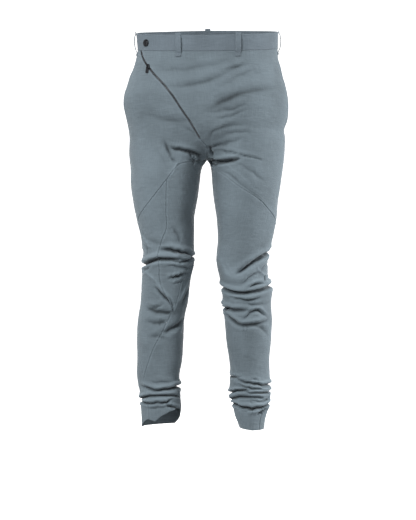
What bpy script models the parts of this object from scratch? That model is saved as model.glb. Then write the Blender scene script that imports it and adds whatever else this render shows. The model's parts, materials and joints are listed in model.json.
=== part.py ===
"""Slim asymmetric trousers with a slanted zip, as they stand when worn: open waist, two hollow
legs and cropped, gathered hems. Each sewn piece is its own solid, 0.35 mm from its neighbours.

Every cloth piece is cut from one surface. `u` runs round one half of the garment: 0 at the centre
front (or the inseam, on a leg), 0.5 at the side seam, 1 at the centre back. `drop` is the height
below the waist in millimetres. The front faces -Y, and the half at -X is called left here.
"""

import math

import bmesh
import bpy
import numpy as np
from mathutils import Matrix, Vector

MM = 0.001

# Walls and gaps, mm
CLOTH = 1.2
BAND_WALL = 2.4
TAPE_WALL = 1.0
GAP = 0.35
LOOP_WALL = 1.6

# Heights, mm below the waist
BAND_END = 38.0
RISE_START = 200.0
LEG_FORMS_FROM, LEG_FORMS_TO = 130.0, 350.0
ZIP_END, STAR = 245.0, 268.0
CROTCH = 290.0
CUFF_START = 842.0
HEM = 908.0

# Waist edge: the back stands higher than the front, and the +X side a little higher than the other
WAIST_LIFT = 3.0
WAIST_BACK_LIFT = 13.0
WAIST_SIDE_LIFT = 1.5
WAIST_LIFT_ENDS = 190.0

# The front view's place, mm: fold and seam places in the tables are as seen from here
VIEW_DISTANCE = 6000.0
VIEW_DROP = 520.0

LEFT, RIGHT = 0, 1
SIDE_SIGN = np.array([-1.0, 1.0])


def table(columns, *rows):
    """Named columns of a short table, each an array."""
    return dict(zip(columns.split(), np.array(rows, float).T))


TORSO = table(
    "drop left right front back square",
    (-20, 163, 163, 90, 96, 2.7),
    (0, 163, 162, 92, 98, 2.7),
    (37, 160, 161, 97, 106, 2.7),
    (60, 164, 162, 101, 114, 2.6),
    (83, 171, 169, 104, 121, 2.5),
    (106, 181, 174, 107, 127, 2.45),
    (129, 187, 181, 109, 131, 2.4),
    (152, 194, 185, 110, 134, 2.35),
    (175, 192, 187, 110, 135, 2.3),
    (198, 187, 185, 109, 134, 2.3),
    (221, 181, 176, 107, 131, 2.3),
    (244, 178, 181, 104, 127, 2.3),
    (267, 178, 180, 101, 120, 2.2),
    (290, 180, 176, 98, 110, 2.2),
)
LEFT_LEG = table(
    "drop inner outer front back",
    (290, 0, -180, -98, 110),
    (301, -8, -176, -96, 106),
    (336, -17, -176, -93, 98),
    (382, -24, -171, -89, 86),
    (428, -31, -162, -84, 74),
    (474, -31, -151, -79, 62),
    (520, -31, -147, -75, 54),
    (566, -40, -151, -68, 60),
    (612, -45, -153, -60, 68),
    (658, -54, -160, -54, 73),
    (704, -56, -162, -49, 73),
    (750, -59, -162, -44, 68),
    (784, -66, -163, -40, 62),
    (819, -68, -157, -39, 57),
    (853, -66, -154, -38, 52),
    (930, -72, -150, -38, 46),
)
RIGHT_LEG = table(
    "drop inner outer front back",
    (290, 0, 176, -98, 110),
    (301, 3, 174, -96, 106),
    (336, 10, 169, -93, 98),
    (382, 15, 162, -89, 86),
    (428, 22, 158, -84, 74),
    (474, 24, 148, -79, 62),
    (520, 20, 137, -75, 54),
    (554, 27, 138, -70, 58),
    (589, 34, 148, -64, 65),
    (623, 36, 146, -58, 70),
    (658, 40, 148, -54, 73),
    (704, 43, 146, -49, 73),
    (750, 50, 142, -44, 68),
    (784, 52, 143, -40, 62),
    (819, 50, 144, -39, 57),
    (853, 58, 143, -38, 52),
    (876, 62, 136, -38, 49),
    (930, 72, 131, -38, 46),
)
LEG_SQUARE = 2.15

# Hem edge of the left leg, notched at the front: u and drop
LEFT_HEM = table(
    "u drop",
    (0, 868),
    (0.04, 862),
    (0.10, 860),
    (0.17, 866),
    (0.25, 878),
    (0.29, 889),
    (0.36, 884),
    (0.50, 904),
    (0.75, 900),
    (0.89, 897),
    (0.97, 882),
    (1.0, 868),
)
RIGHT_HEM = table("u drop", (0, 904), (0.25, 910), (0.5, 908), (0.75, 903), (1.0, 904))

# Seams as seen from the front: x and drop, mm
ZIP_LINE = table(
    "x drop",
    (-154, 38),
    (-147, 62),
    (-136, 76),
    (-121, 92),
    (-98, 117),
    (-77, 143),
    (-63, 170),
    (-40, 202),
    (-21, 235),
    (-6, 260),
    (0, 265),
)
SLANT_END, SEAM_B_START, SEAM_B_END, SEAM_C_START, SEAM_C_END = 440.0, 336.0, 634.0, 524.0, 787.0
SEAM_A_LEFT = table("x drop", (-2, 289), (-34, 291), (-72, 301), (-95, 336), (-128, 377), (-151, 409))
SEAM_B = table(
    "x drop",
    (-95, 336),
    (-93, 437),
    (-109, 485),
    (-113, 508),
    (-112, 524),
    (-109, 566),
    (-98, 596),
)
SEAM_C = table(
    "x drop",
    (-31, 524),
    (-43, 541),
    (-61, 575),
    (-70, 612),
    (-79, 637),
    (-102, 681),
    (-128, 734),
)
SEAM_A_RIGHT = table(
    "x drop", (4, 300), (13, 306), (33, 320), (63, 343), (102, 368), (121, 382), (144, 409)
)
# Seams that stay at a side of the leg and then twist forward: drop and u
OUTSEAM_LEFT = table("drop u", (0, 0.5), (700, 0.5), (754, 0.40), (791, 0.36), (930, 0.34))
OUTSEAM_RIGHT = table("drop u", (0, 0.5), (770, 0.5), (830, 0.42), (870, 0.36), (930, 0.34))
INSEAM_RIGHT = table("drop u", (0, 0.0), (630, 0.0), (715, 0.05), (738, 0.09), (782, 0.13), (930, 0.14))
# Front edge of each side pocket's mouth: drop and u
POCKET_MOUTH = table("drop u", (38, 0.42), (100, 0.43), (160, 0.44), (198, 0.46), (216, 0.499))
POCKET_END = 216.0
POCKET_BAG_END = 224.0
MOUTH_LIFT = 0.8

# Folds as seen from the front or through to the back, each a curve through three places.
# Width is from the crease's middle to its edge, depth inward, lip the swell beside it.
FRONT_FOLDS = table(
    "x0 d0 x1 d1 x2 d2 width depth lip",
    (-110, 81, -35, 79, 46, 64, 9, 2.0, 0.6),
    (-95, 118, -12, 112, 90, 62, 9, 2.2, 0.6),
    (30, 124, 72, 96, 102, 84, 8, 1.6, 0.5),
    (2, 171, 66, 142, 140, 128, 13, 3.2, 0.6),
    (5, 180, 62, 172, 88, 155, 8, 2.2, 0.6),
    (5, 235, 45, 214, 88, 211, 8, 2.2, 0.5),
    (12, 262, 52, 248, 76, 240, 8, 2.0, 0.6),
    (-144, 187, -88, 197, -40, 203, 12, 2.0, 0.5),
    (-97, 249, -92, 263, -68, 290, 7, 3.0, 0.6),
    (-82, 263, -40, 269, -20, 277, 6, 3.2, 0.8),
    (6, 265, 60, 277, 128, 297, 6, 3.0, 0.8),
    (18, 306, 75, 343, 121, 382, 6, 1.6, 0.7),
    (-160, 455, -110, 482, -78, 484, 11, 4.3, 0.66),
    (-76, 452, -66, 466, -60, 476, 6, 3.5, 0.55),
    (-104, 497, -60, 500, -32, 512, 6, 4.9, 0.88),
    (-155, 530, -112, 519, -44, 521, 6, 5.9, 0.99),
    (-90, 532, -65, 536, -44, 534, 5, 3.2, 0.66),
    (-88, 561, -62, 555, -32, 546, 7, 4.1, 0.77),
    (-146, 548, -120, 576, -86, 612, 9, 4.3, 0.66),
    (-58, 658, -75, 676, -100, 684, 8, 3.0, 0.66),
    (-138, 630, -110, 640, -76, 644, 8, 2.2, 0.55),
    (-138, 664, -110, 665, -94, 662, 8, 1.9, 0.55),
    (142, 504, 112, 524, 72, 550, 8, 6.2, 0.88),
    (33, 524, 60, 560, 98, 549, 14, -3.0, 0.0),
    (86, 575, 100, 550, 118, 545, 6, 3.2, 0.66),
    (86, 588, 118, 574, 128, 574, 6, 3.8, 0.77),
    (28, 581, 80, 592, 150, 577, 7, 6.2, 0.99),
    (56, 607, 100, 611, 114, 609, 6, 3.5, 0.66),
    (30, 627, 50, 635, 88, 636, 7, 4.9, 0.88),
    (92, 647, 118, 637, 134, 645, 7, 4.1, 0.77),
    (46, 648, 78, 662, 126, 658, 8, 3.5, 0.66),
    (102, 668, 126, 680, 144, 696, 8, 2.4, 0.55),
    (-150, 812, -112, 817, -66, 808, 5, 4.3, 0.88),
    (-154, 836, -108, 831, -74, 833, 5, 4.9, 0.99),
    (-152, 849, -110, 845, -80, 843, 4.5, 4.1, 0.88),
    (-94, 856, -82, 857, -62, 853, 4.5, 3.8, 0.77),
    (52, 787, 62, 789, 72, 787, 5, 3.0, 0.66),
    (68, 795, 104, 804, 136, 800, 5, 4.3, 0.88),
    (74, 812, 98, 815, 122, 816, 5, 3.8, 0.77),
    (50, 824, 96, 822, 145, 822, 5, 4.9, 0.99),
    (50, 843, 74, 836, 116, 837, 5, 4.3, 0.88),
    (58, 850, 100, 859, 146, 846, 5, 5.1, 0.99),
)
BACK_FOLDS = table(
    "x0 d0 x1 d1 x2 d2 width depth lip",
    (-110, 92, -30, 100, 70, 84, 12, 2.2, 0.5),
    (-60, 250, -92, 276, -150, 296, 11, 3.0, 0.6),
    (58, 252, 96, 280, 148, 302, 11, 3.0, 0.6),
    (-40, 300, -70, 330, -120, 352, 10, 2.6, 0.6),
    (40, 300, 74, 334, 122, 350, 10, 2.6, 0.6),
    (-44, 482, -96, 494, -148, 476, 8, 4.9, 0.88),
    (-36, 508, -92, 515, -150, 506, 8, 5.7, 0.88),
    (-38, 536, -84, 542, -150, 530, 8, 5.1, 0.88),
    (-44, 566, -96, 573, -150, 560, 8, 3.8, 0.77),
    (32, 498, 84, 508, 140, 496, 8, 5.1, 0.88),
    (26, 528, 80, 536, 136, 524, 8, 5.7, 0.88),
    (32, 560, 86, 565, 142, 562, 8, 4.9, 0.88),
    (36, 594, 92, 600, 146, 588, 8, 3.8, 0.77),
    (-64, 792, -110, 800, -158, 790, 6, 3.5, 0.77),
    (-66, 815, -112, 820, -156, 812, 5, 4.6, 0.99),
    (-66, 836, -110, 840, -154, 834, 5, 4.9, 0.99),
    (-68, 856, -106, 862, -152, 854, 5, 4.3, 0.88),
    (52, 790, 96, 796, 142, 788, 6, 3.5, 0.77),
    (52, 812, 98, 816, 144, 808, 5, 4.6, 0.99),
    (54, 832, 100, 838, 143, 830, 5, 4.9, 0.99),
    (58, 852, 100, 858, 142, 850, 5, 4.6, 0.99),
)

# Rows of the coarse surface, drop in mm, closer together where the legs part
GRID_COLUMNS = 32
GRID_DROPS = np.concatenate(
    [
        np.arange(-20.0, RISE_START, 20.0),
        RISE_START + (CROTCH - RISE_START) * np.sin(np.linspace(0, math.pi / 2, 8)),
        [296.0, 306.0, 320.0],
        np.arange(340.0, 961.0, 20.0),
    ]
)
CROTCH_ROW = int(np.argmin(abs(GRID_DROPS - CROTCH)))

# Rows of the built pieces, drop in mm: closer at the knees and ankles, where the folds are
PIECE_ROWS = np.concatenate(
    [
        [BAND_END + GAP, 56, 76, 100, 124, 148, 172, 196, 216, 234, ZIP_END, 256, 268, 280, 287, 290],
        [291.5, 295, 302, 312, 324, 336, 340, 356, 380, 402, 422, SLANT_END],
        np.linspace(455, 485, 3),
        np.linspace(498, SEAM_B_END, 10),
        np.linspace(648, 676, 3),
        [694, 718, 742, 766, SEAM_C_END, 799],
        np.linspace(808, CUFF_START - 8, 4),
        np.linspace(CUFF_START, HEM, 8),
    ]
)

# Fastenings and loops
BAND_END_X = -154.0
BAND_PROUD = 0.6
UNDERLAP = 0.08
BUTTON_X, BUTTON_DROP = -141.0, 21.0
BUTTON_RADIUS, BUTTON_HEIGHT, BUTTON_DIMPLE = 8.4, 3.0, 4.6
LOOP_WIDTH, LOOP_TOP, LOOP_BOTTOM = 12.5, -4.0, 52.0
LOOPS = {
    "belt_loop_side_left": (LEFT, 0.452, 6.0),
    "belt_loop_front_left": (LEFT, 0.128, 3.4),
    "belt_loop_front_right": (RIGHT, 0.133, 3.4),
    "belt_loop_side_right": (RIGHT, 0.478, 6.2),
    "belt_loop_back": (RIGHT, 0.999, 3.4),
}
SLOT = 2.2
TAPE_CLEAR = 0.75
SLOT_OPENS_AT = 76.0
SLIDER_DROP = 76.0
TAPE_WIDTH = 10.0

# Slider and pull, mm in the slider's frame: x level, y up the cloth, z out from it
SLIDER_HALF_WIDTH, SLIDER_HALF_LENGTH = 4.6, 6.4
SLIDER_PLATE = (1.0, 2.5)
KEEL_HALF_WIDTH = 1.5
PULL_THICK, PULL_HALF_WIDTH, PULL_LENGTH, PULL_ARM = 1.2, 4.2, 15.5, 3.0
PULL_STOP_GAP = 0.35
HINGE_HEIGHT = SLIDER_PLATE[1] + PULL_STOP_GAP + PULL_THICK / 2
HINGE_Y = 0.6
BRIDGE_HALF_WIDTH = 1.0
BRIDGE_INSIDE, BRIDGE_OUTSIDE = 1.5, 2.5
BRIDGE_CLEAR, BRIDGE_TOP = 1.15, 2.1
EYE_HALF_WIDTH, EYE_DEPTH = 1.6, 4.0
BAR_RADIUS = 0.5

COLOURS = {
    "cloth": (0.159, 0.198, 0.231),
    "band": (0.150, 0.182, 0.209),
    "tape": (0.045, 0.052, 0.060),
    "metal": (0.060, 0.064, 0.068),
}


def smooth(x, xs, ys):
    """Cubic curve through (xs, ys) that never swings past them: level at each high or low point."""
    rise = np.diff(ys) / np.diff(xs)
    product = rise[1:] * rise[:-1]
    level = 2 * product / np.where(product > 0, rise[1:] + rise[:-1], 1)
    slope = np.concatenate([rise[:1], np.where(product > 0, level, 0), rise[-1:]])
    i = np.clip(np.searchsorted(xs, x) - 1, 0, len(xs) - 2)
    width = xs[i + 1] - xs[i]
    t = np.clip((x - xs[i]) / width, 0, 1)
    near = (1 + 2 * t) * (1 - t) ** 2 * ys[i] + t * (1 - t) ** 2 * width * slope[i]
    return near + t * t * (3 - 2 * t) * ys[i + 1] + t * t * (t - 1) * width * slope[i + 1]


def ease(t):
    """0 to 1 with level ends, as t goes from 0 to 1."""
    t = np.clip(t, 0, 1)
    return t * t * (3 - 2 * t)


def squared_circle(angle, power):
    """(sin, cos) pushed out to the curve |x|^power + |y|^power = 1."""
    s, c = np.sin(angle), np.cos(angle)
    reach = (abs(s) ** power + abs(c) ** power) ** (-1 / power)
    return s * reach, c * reach


def torso_point(half, u, drop):
    """Half ring of the torso, from the centre front round the side to the centre back."""
    s, c = squared_circle(math.pi * u, smooth(drop, TORSO["drop"], TORSO["square"]))
    reach = smooth(drop, TORSO["drop"], TORSO["right" if half else "left"])
    depth = np.where(c > 0, *(smooth(drop, TORSO["drop"], TORSO[k]) for k in ("front", "back")))
    return SIDE_SIGN[half] * reach * s, -depth * c


def leg_point(half, u, drop):
    """Whole ring of a leg, from the inseam over the front, the outside and the back."""
    leg = RIGHT_LEG if half else LEFT_LEG
    s, c = squared_circle(2 * math.pi * u - math.pi / 2, LEG_SQUARE)
    inner, outer, front, back = (
        smooth(drop, leg["drop"], leg[k]) for k in ("inner", "outer", "front", "back")
    )
    x = (inner + outer) / 2 + (outer - inner) / 2 * s
    return x, (front + back) / 2 - (back - front) / 2 * c


def base_grid():
    """Coarse surface of both halves: torso rings that turn into leg rings.

    At the fork they turn along a quarter ellipse, which gives the rise its curve, and elsewhere slowly.
    """
    drop, u = np.meshgrid(GRID_DROPS, np.linspace(0, 1, GRID_COLUMNS + 1), indexing="ij")
    t = np.clip((drop - RISE_START) / (CROTCH - RISE_START), 0, 1)
    at_fork = np.exp(-((np.minimum(u, 1 - u) / 0.11) ** 2))
    round_leg = ease((drop - LEG_FORMS_FROM) / (LEG_FORMS_TO - LEG_FORMS_FROM))
    turned = at_fork * (1 - np.sqrt(1 - t * t)) + (1 - at_fork) * round_leg
    halves = []
    for half in (LEFT, RIGHT):
        torso = torso_point(half, u, np.minimum(drop, CROTCH))
        leg = leg_point(half, u, np.maximum(drop, CROTCH))
        x, y = ((1 - turned) * a + turned * b for a, b in zip(torso, leg))
        lift = WAIST_LIFT - WAIST_BACK_LIFT * np.cos(math.pi * u) + WAIST_SIDE_LIFT * x / 160
        z = lift * (1 - ease(drop / WAIST_LIFT_ENDS)) - drop
        halves.append(np.stack([x, y, z], axis=-1))
    return np.array(halves)


def node(grid, half, row, column):
    """Grid point. A column past an end is the other half's down to the crotch, and the same leg's below."""
    row = np.clip(row, 0, len(GRID_DROPS) - 1)
    outside = (column < 0) | (column > GRID_COLUMNS)
    mirrored = outside & (row <= CROTCH_ROW)
    wrapped = outside & (row > CROTCH_ROW)
    column = np.where(mirrored, np.where(column < 0, -column, 2 * GRID_COLUMNS - column), column)
    column = np.where(wrapped, np.mod(column, GRID_COLUMNS), column)
    return grid[np.where(mirrored, 1 - half, half), row, column]


def relaxed(grid, rounds=24, reach_drop=32.0, reach_u=0.12):
    """The grid with the fork between the legs drawn into a smooth saddle, as taut cloth lies."""
    half, row, column = np.indices(grid.shape[:3])
    u = column / GRID_COLUMNS
    near = np.exp(-(((GRID_DROPS[row] - CROTCH + 4) / reach_drop) ** 2))
    pull = 0.5 * (near * np.exp(-((np.minimum(u, 1 - u) / reach_u) ** 2)))[..., None]
    ends = (0, GRID_COLUMNS)
    for _ in range(rounds):
        around = [node(grid, half, row + a, column + b) for a, b in ((1, 0), (-1, 0), (0, 1), (0, -1))]
        moved = grid + pull * (sum(around) / 4 - grid)
        rise = moved[LEFT, CROTCH_ROW - 1, ends].sum(axis=0) / 2
        legs = moved[:, CROTCH_ROW + 1, 0].sum(axis=0) / 2
        moved[:, CROTCH_ROW, ends] = (rise + legs) / 2
        grid = moved
    return grid


BASE = relaxed(base_grid())


def catmull(t):
    """Weights of four neighbours for a smooth curve through the middle two."""
    return (
        ((2 - t) * t - 1) * t / 2,
        ((3 * t - 5) * t * t + 2) / 2,
        ((4 - 3 * t) * t + 1) * t / 2,
        (t - 1) * t * t / 2,
    )


def base_point(half, u, drop):
    """Point of the unfolded surface. u below 0 or above 1 runs on into the other half or round the leg.

    Beside the fork, the torso's curves stop at the crotch row and the legs' start there.
    """
    row = np.interp(drop, GRID_DROPS, np.arange(len(GRID_DROPS)))
    column = u * GRID_COLUMNS
    i, j = np.floor(row).astype(int), np.floor(column).astype(int)
    down, along = catmull(row - i), catmull(column - j)
    edge = np.exp(-((np.minimum(abs(u), abs(1 - u)) / 0.05) ** 2))[..., None]
    total = 0
    for b in range(4):
        points = [node(BASE, half, i + a - 1, j + b - 1) for a in range(4)]
        above = edge * (i == CROTCH_ROW)[..., None]
        below = edge * (i == CROTCH_ROW - 1)[..., None]
        points[0] = points[0] + above * (2 * points[1] - points[2] - points[0])
        points[3] = points[3] + below * (2 * points[2] - points[1] - points[3])
        for a in range(4):
            total = total + (down[a] * along[b])[..., None] * points[a]
    return total


def unit(v):
    """v at length 1."""
    return v / np.linalg.norm(v, axis=-1, keepdims=True)


def outward(point_at, half, u, drop, step_u=0.008, step_drop=3.0):
    """Unit normal of a surface, from the points a short step away on each side."""
    across = point_at(half, u + step_u, drop) - point_at(half, u - step_u, drop)
    down = point_at(half, u, drop + step_drop) - point_at(half, u, drop - step_drop)
    return unit(np.cross(down, across)) * SIDE_SIGN[half]


def seen(points):
    """Where points appear from the front view's place, on the plane y = 0: x and drop."""
    nearness = 1 + points[..., 1] / VIEW_DISTANCE
    return points[..., 0] / nearness, VIEW_DROP + (-points[..., 2] - VIEW_DROP) / nearness


def samples():
    """A fine set of surface points with their half, u and drop, to look places up in."""
    drop, u = np.meshgrid(np.arange(-4.0, 925.0, 3.0), np.linspace(0, 1, 241), indexing="ij")
    found = []
    for half in (LEFT, RIGHT):
        points = base_point(half, u, drop)
        normal = outward(base_point, half, u, drop)
        found.append(
            [np.full(u.size, half), u.ravel(), drop.ravel(), *points.reshape(-1, 3).T, normal[..., 1].ravel()]
        )
    return np.concatenate(found, axis=1)


SAMPLES = samples()
SAMPLE_SEEN = seen(SAMPLES[3:6].T)


def lookup(x, drop, back=False):
    """Column of SAMPLES that appears at x and drop, on the front or the back of the garment."""
    facing = SAMPLES[6] > 0.05 if back else SAMPLES[6] < -0.05
    distance = (SAMPLE_SEEN[0] - x) ** 2 + (SAMPLE_SEEN[1] - drop) ** 2
    return SAMPLES[:, np.argmin(np.where(facing, distance, np.inf))]


def fold_lines(folds, back, steps=9):
    """Each fold as (points along its crease, width, depth, lip)."""
    lines = []
    t = np.linspace(0, 1, steps)
    first, middle, last = (1 - t) * (1 - 2 * t), 4 * t * (1 - t), t * (2 * t - 1)
    for i in range(len(folds["width"])):
        x, drop = (
            first * folds[k + "0"][i] + middle * folds[k + "1"][i] + last * folds[k + "2"][i]
            for k in ("x", "d")
        )
        line = np.array([lookup(a, b, back)[3:6] for a, b in zip(x, drop)])
        lines.append((line, folds["width"][i], folds["depth"][i], folds["lip"][i]))
    return lines


FOLDS = fold_lines(FRONT_FOLDS, False) + fold_lines(BACK_FOLDS, True)


def fold_height(points, normals):
    """How far the folds move each surface point along its normal: a trough with a swell on each side."""
    height = np.zeros(len(points))
    for line, width, depth, lip in FOLDS:
        reach = 4.5 * width
        inside = ((points > line.min(axis=0) - reach) & (points < line.max(axis=0) + reach)).all(axis=1)
        index = np.nonzero(inside)[0]
        if not len(index):
            continue
        p, n = points[index], normals[index]
        best = np.full(len(index), np.inf)
        across, along, beyond = (np.zeros(len(index)) for _ in range(3))
        for k in range(len(line) - 1):
            run = line[k + 1] - line[k]
            length = np.linalg.norm(run)
            if length < 1e-6:
                continue
            t = (p - line[k]) @ run / length**2
            foot = line[k] + np.clip(t, 0, 1)[:, None] * run
            away = p - foot
            closer = np.linalg.norm(away, axis=1) < best
            side = unit(np.cross(n, run / length))
            best = np.where(closer, np.linalg.norm(away, axis=1), best)
            across = np.where(closer, (away * side).sum(axis=1), across)
            along = np.where(closer, (k + np.clip(t, 0, 1)) / (len(line) - 1), along)
            beyond = np.where(closer, abs(away @ run) / length, beyond)
        q = across / width
        shape = -np.exp(-q * q) + lip * np.exp(-(((q - 2) / 1.3) ** 2))
        shape = shape + 0.5 * lip * np.exp(-(((q + 2) / 1.3) ** 2))
        level = np.exp(-((abs((p - line[len(line) // 2])[:, 1]) / 120) ** 4))
        ends = np.sin(math.pi * (0.08 + 0.84 * along)) ** 0.8
        height[index] += depth * shape * ends * level * np.exp(-((beyond / width) ** 2))
    return height


def cloth_point(half, u, drop):
    """Point of the folded cloth."""
    shape = np.shape(u)
    points = base_point(half, u, drop).reshape(-1, 3)
    normals = outward(base_point, half, u, drop).reshape(-1, 3)
    return (points + fold_height(points, normals)[:, None] * normals).reshape(*shape, 3)


def seam_u(line, end=None):
    """u along a seam, as a smooth function of drop, from where the seam is seen. `end` adds a (drop, u)."""
    found = np.array([lookup(x, d) for x, d in zip(line["x"], line["drop"])])
    order = np.argsort(found[:, 2], kind="stable")
    signed = np.where(found[:, 0] == (RIGHT if line["x"].mean() > 0 else LEFT), 1, -1) * found[:, 1]
    drops, places = found[order, 2], signed[order]
    if end:
        drops, places = np.append(drops, end[0]), np.append(places, end[1])
    kept = np.concatenate([[True], np.diff(drops) > 1.0])
    return lambda drop: smooth(drop, drops[kept], places[kept])


ZIP_U = seam_u(ZIP_LINE)
SEAM_A_LEFT_U = seam_u(SEAM_A_LEFT, (SLANT_END, 0.4965))
SEAM_A_RIGHT_U = seam_u(SEAM_A_RIGHT, (SLANT_END, 0.4965))
SEAM_B_LINE = seam_u(SEAM_B, (SEAM_B_END, 0.179))
SEAM_C_U = seam_u(SEAM_C, (SEAM_C_END, 0.356))


def seam_b_u(drop):
    """Seam B starts on seam A."""
    return np.minimum(SEAM_B_LINE(drop), SEAM_A_LEFT_U(drop))


def zip_u(drop):
    """u of the zip's middle, on the left half, down to the centre front."""
    return np.maximum(ZIP_U(drop), 0)


def side_u(seam, drop):
    """u along a seam that is given by its u."""
    return smooth(drop, seam["drop"], seam["u"])


def mouth_u(seam, drop):
    """Outer edge of a front panel: the pocket's mouth, then the side seam below it."""
    return np.where(drop < POCKET_END, np.interp(drop, POCKET_MOUTH["drop"], POCKET_MOUTH["u"]), side_u(seam, drop))


def zip_slot(drop):
    """Half the gap between the cloth edges at the zip, wider above the slider, where it is open."""
    return SLOT + 1.2 * np.clip((SLOT_OPENS_AT - drop) / 38, 0, 1)


def piece_edge(curve, half, drops, inset):
    """u along an edge, moved sideways so that the gap square to the edge is `inset` mm."""
    u = curve(drops)
    step = 0.004
    scale = np.linalg.norm(base_point(half, u + step, drops) - base_point(half, u - step, drops), axis=-1)
    scale = scale / (2 * step)
    slope = abs(np.diff(u) / np.diff(drops))
    slope = np.maximum(np.append(slope, 0), np.insert(slope, 0, 0)) * scale
    return u + inset * np.sqrt(1 + np.minimum(slope**2, 500)) / scale


def hem_drop(half, u, row):
    """Row height near a hem, stretched so that the last row lies on the hem's edge."""
    hem = RIGHT_HEM if half else LEFT_HEM
    edge = np.interp(np.mod(u, 1), hem["u"], hem["drop"])
    return np.where(row > CUFF_START, CUFF_START + (row - CUFF_START) * (edge - CUFF_START) / (HEM - CUFF_START), row)


def material(kind):
    found = bpy.data.materials.get(kind)
    if found:
        return found
    made = bpy.data.materials.new(kind)
    made.use_nodes = True
    shader = made.node_tree.nodes["Principled BSDF"]
    shader.inputs["Base Color"].default_value = (*COLOURS[kind], 1)
    shader.inputs["Roughness"].default_value = 0.35 if kind == "metal" else 0.85
    shader.inputs["Metallic"].default_value = 1.0 if kind == "metal" else 0.0
    return made


def add_object(name, mesh_maker, kind, origin=(0, 0, 0)):
    """A named object from a bmesh in millimetres about `origin`, which is in millimetres too."""
    mesh = bpy.data.meshes.new(name)
    mesh_maker.transform(Matrix.Scale(MM, 4))
    bmesh.ops.recalc_face_normals(mesh_maker, faces=mesh_maker.faces)
    if mesh_maker.calc_volume(signed=True) < 0:
        bmesh.ops.reverse_faces(mesh_maker, faces=mesh_maker.faces)
    mesh_maker.to_mesh(mesh)
    mesh_maker.free()
    mesh.materials.append(material(kind))
    mesh.shade_smooth()
    mesh.set_sharp_from_angle(angle=math.radians(50))
    made = bpy.data.objects.new(name, mesh)
    made.location = Vector(origin) * MM
    bpy.context.scene.collection.objects.link(made)
    return made


def wall(name, outer, inner, kind):
    """A closed wall between two grids of points with the same rows and columns."""
    rows, columns = outer.shape[:2]
    maker = bmesh.new()
    skins = [[[maker.verts.new(p) for p in line] for line in skin] for skin in (outer, inner)]
    for skin in skins:
        for r in range(rows - 1):
            for c in range(columns - 1):
                maker.faces.new((skin[r][c], skin[r][c + 1], skin[r + 1][c + 1], skin[r + 1][c]))
    rim = [(0, c) for c in range(columns)] + [(r, columns - 1) for r in range(1, rows)]
    rim += [(rows - 1, c) for c in range(columns - 2, -1, -1)] + [(r, 0) for r in range(rows - 2, 0, -1)]
    for (r0, c0), (r1, c1) in zip(rim, rim[1:] + rim[:1]):
        maker.faces.new((skins[0][r0][c0], skins[1][r0][c0], skins[1][r1][c1], skins[0][r1][c1]))
    bmesh.ops.triangulate(maker, faces=maker.faces)
    return add_object(name, maker, kind)


def cloth_piece(name, half, rows, start, end, columns, kind="cloth", proud=0.0, thick=CLOTH, insets=(GAP / 2, GAP / 2)):
    """A panel between two edges u = start(drop) and u = end(drop). `proud` moves its face outward."""
    rows = np.asarray(rows, float)
    first = piece_edge(start, half, rows, insets[0])
    last = piece_edge(end, half, rows, -insets[1])
    t = np.linspace(0, 1, columns + 1)
    u = first[:, None] * (1 - t) + last[:, None] * t
    drop = hem_drop(half, u, np.broadcast_to(rows[:, None], u.shape))
    points = cloth_point(half, u, drop)
    normals = outward(cloth_point, half, u, drop)
    out = proud(u, drop) if callable(proud) else np.full(u.shape, proud)
    return wall(name, points + out[..., None] * normals, points + (out - thick)[..., None] * normals, kind)


def rows_between(top, bottom, start, end, half, least=1.2):
    """The shared rows from top to bottom where the panel between two edges is wide enough to sew."""
    rows = PIECE_ROWS[(PIECE_ROWS >= top - 1e-6) & (PIECE_ROWS <= bottom + 1e-6)]
    width = (end(rows) - start(rows)) * 420
    return rows[width > least]


def first_of(limits, *curves):
    """One edge made of several: the first curve down to the first limit, and so on."""

    def edge(drop):
        u = curves[-1](drop)
        for limit, curve in reversed(list(zip(limits, curves))):
            u = np.where(drop < limit, curve(drop), u)
        return u

    return edge


def centre(drop):
    return np.zeros(np.shape(drop))


def outseam_left(drop):
    return side_u(OUTSEAM_LEFT, drop)


def outseam_right(drop):
    return side_u(OUTSEAM_RIGHT, drop)


def inseam_right(drop):
    return side_u(INSEAM_RIGHT, drop)


def mouth_lift(u, drop):
    """A front panel stands a little off at its pocket's mouth."""
    return MOUTH_LIFT * ease((u - 0.30) / 0.12) * ease((POCKET_END - drop) / 40)


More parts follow.
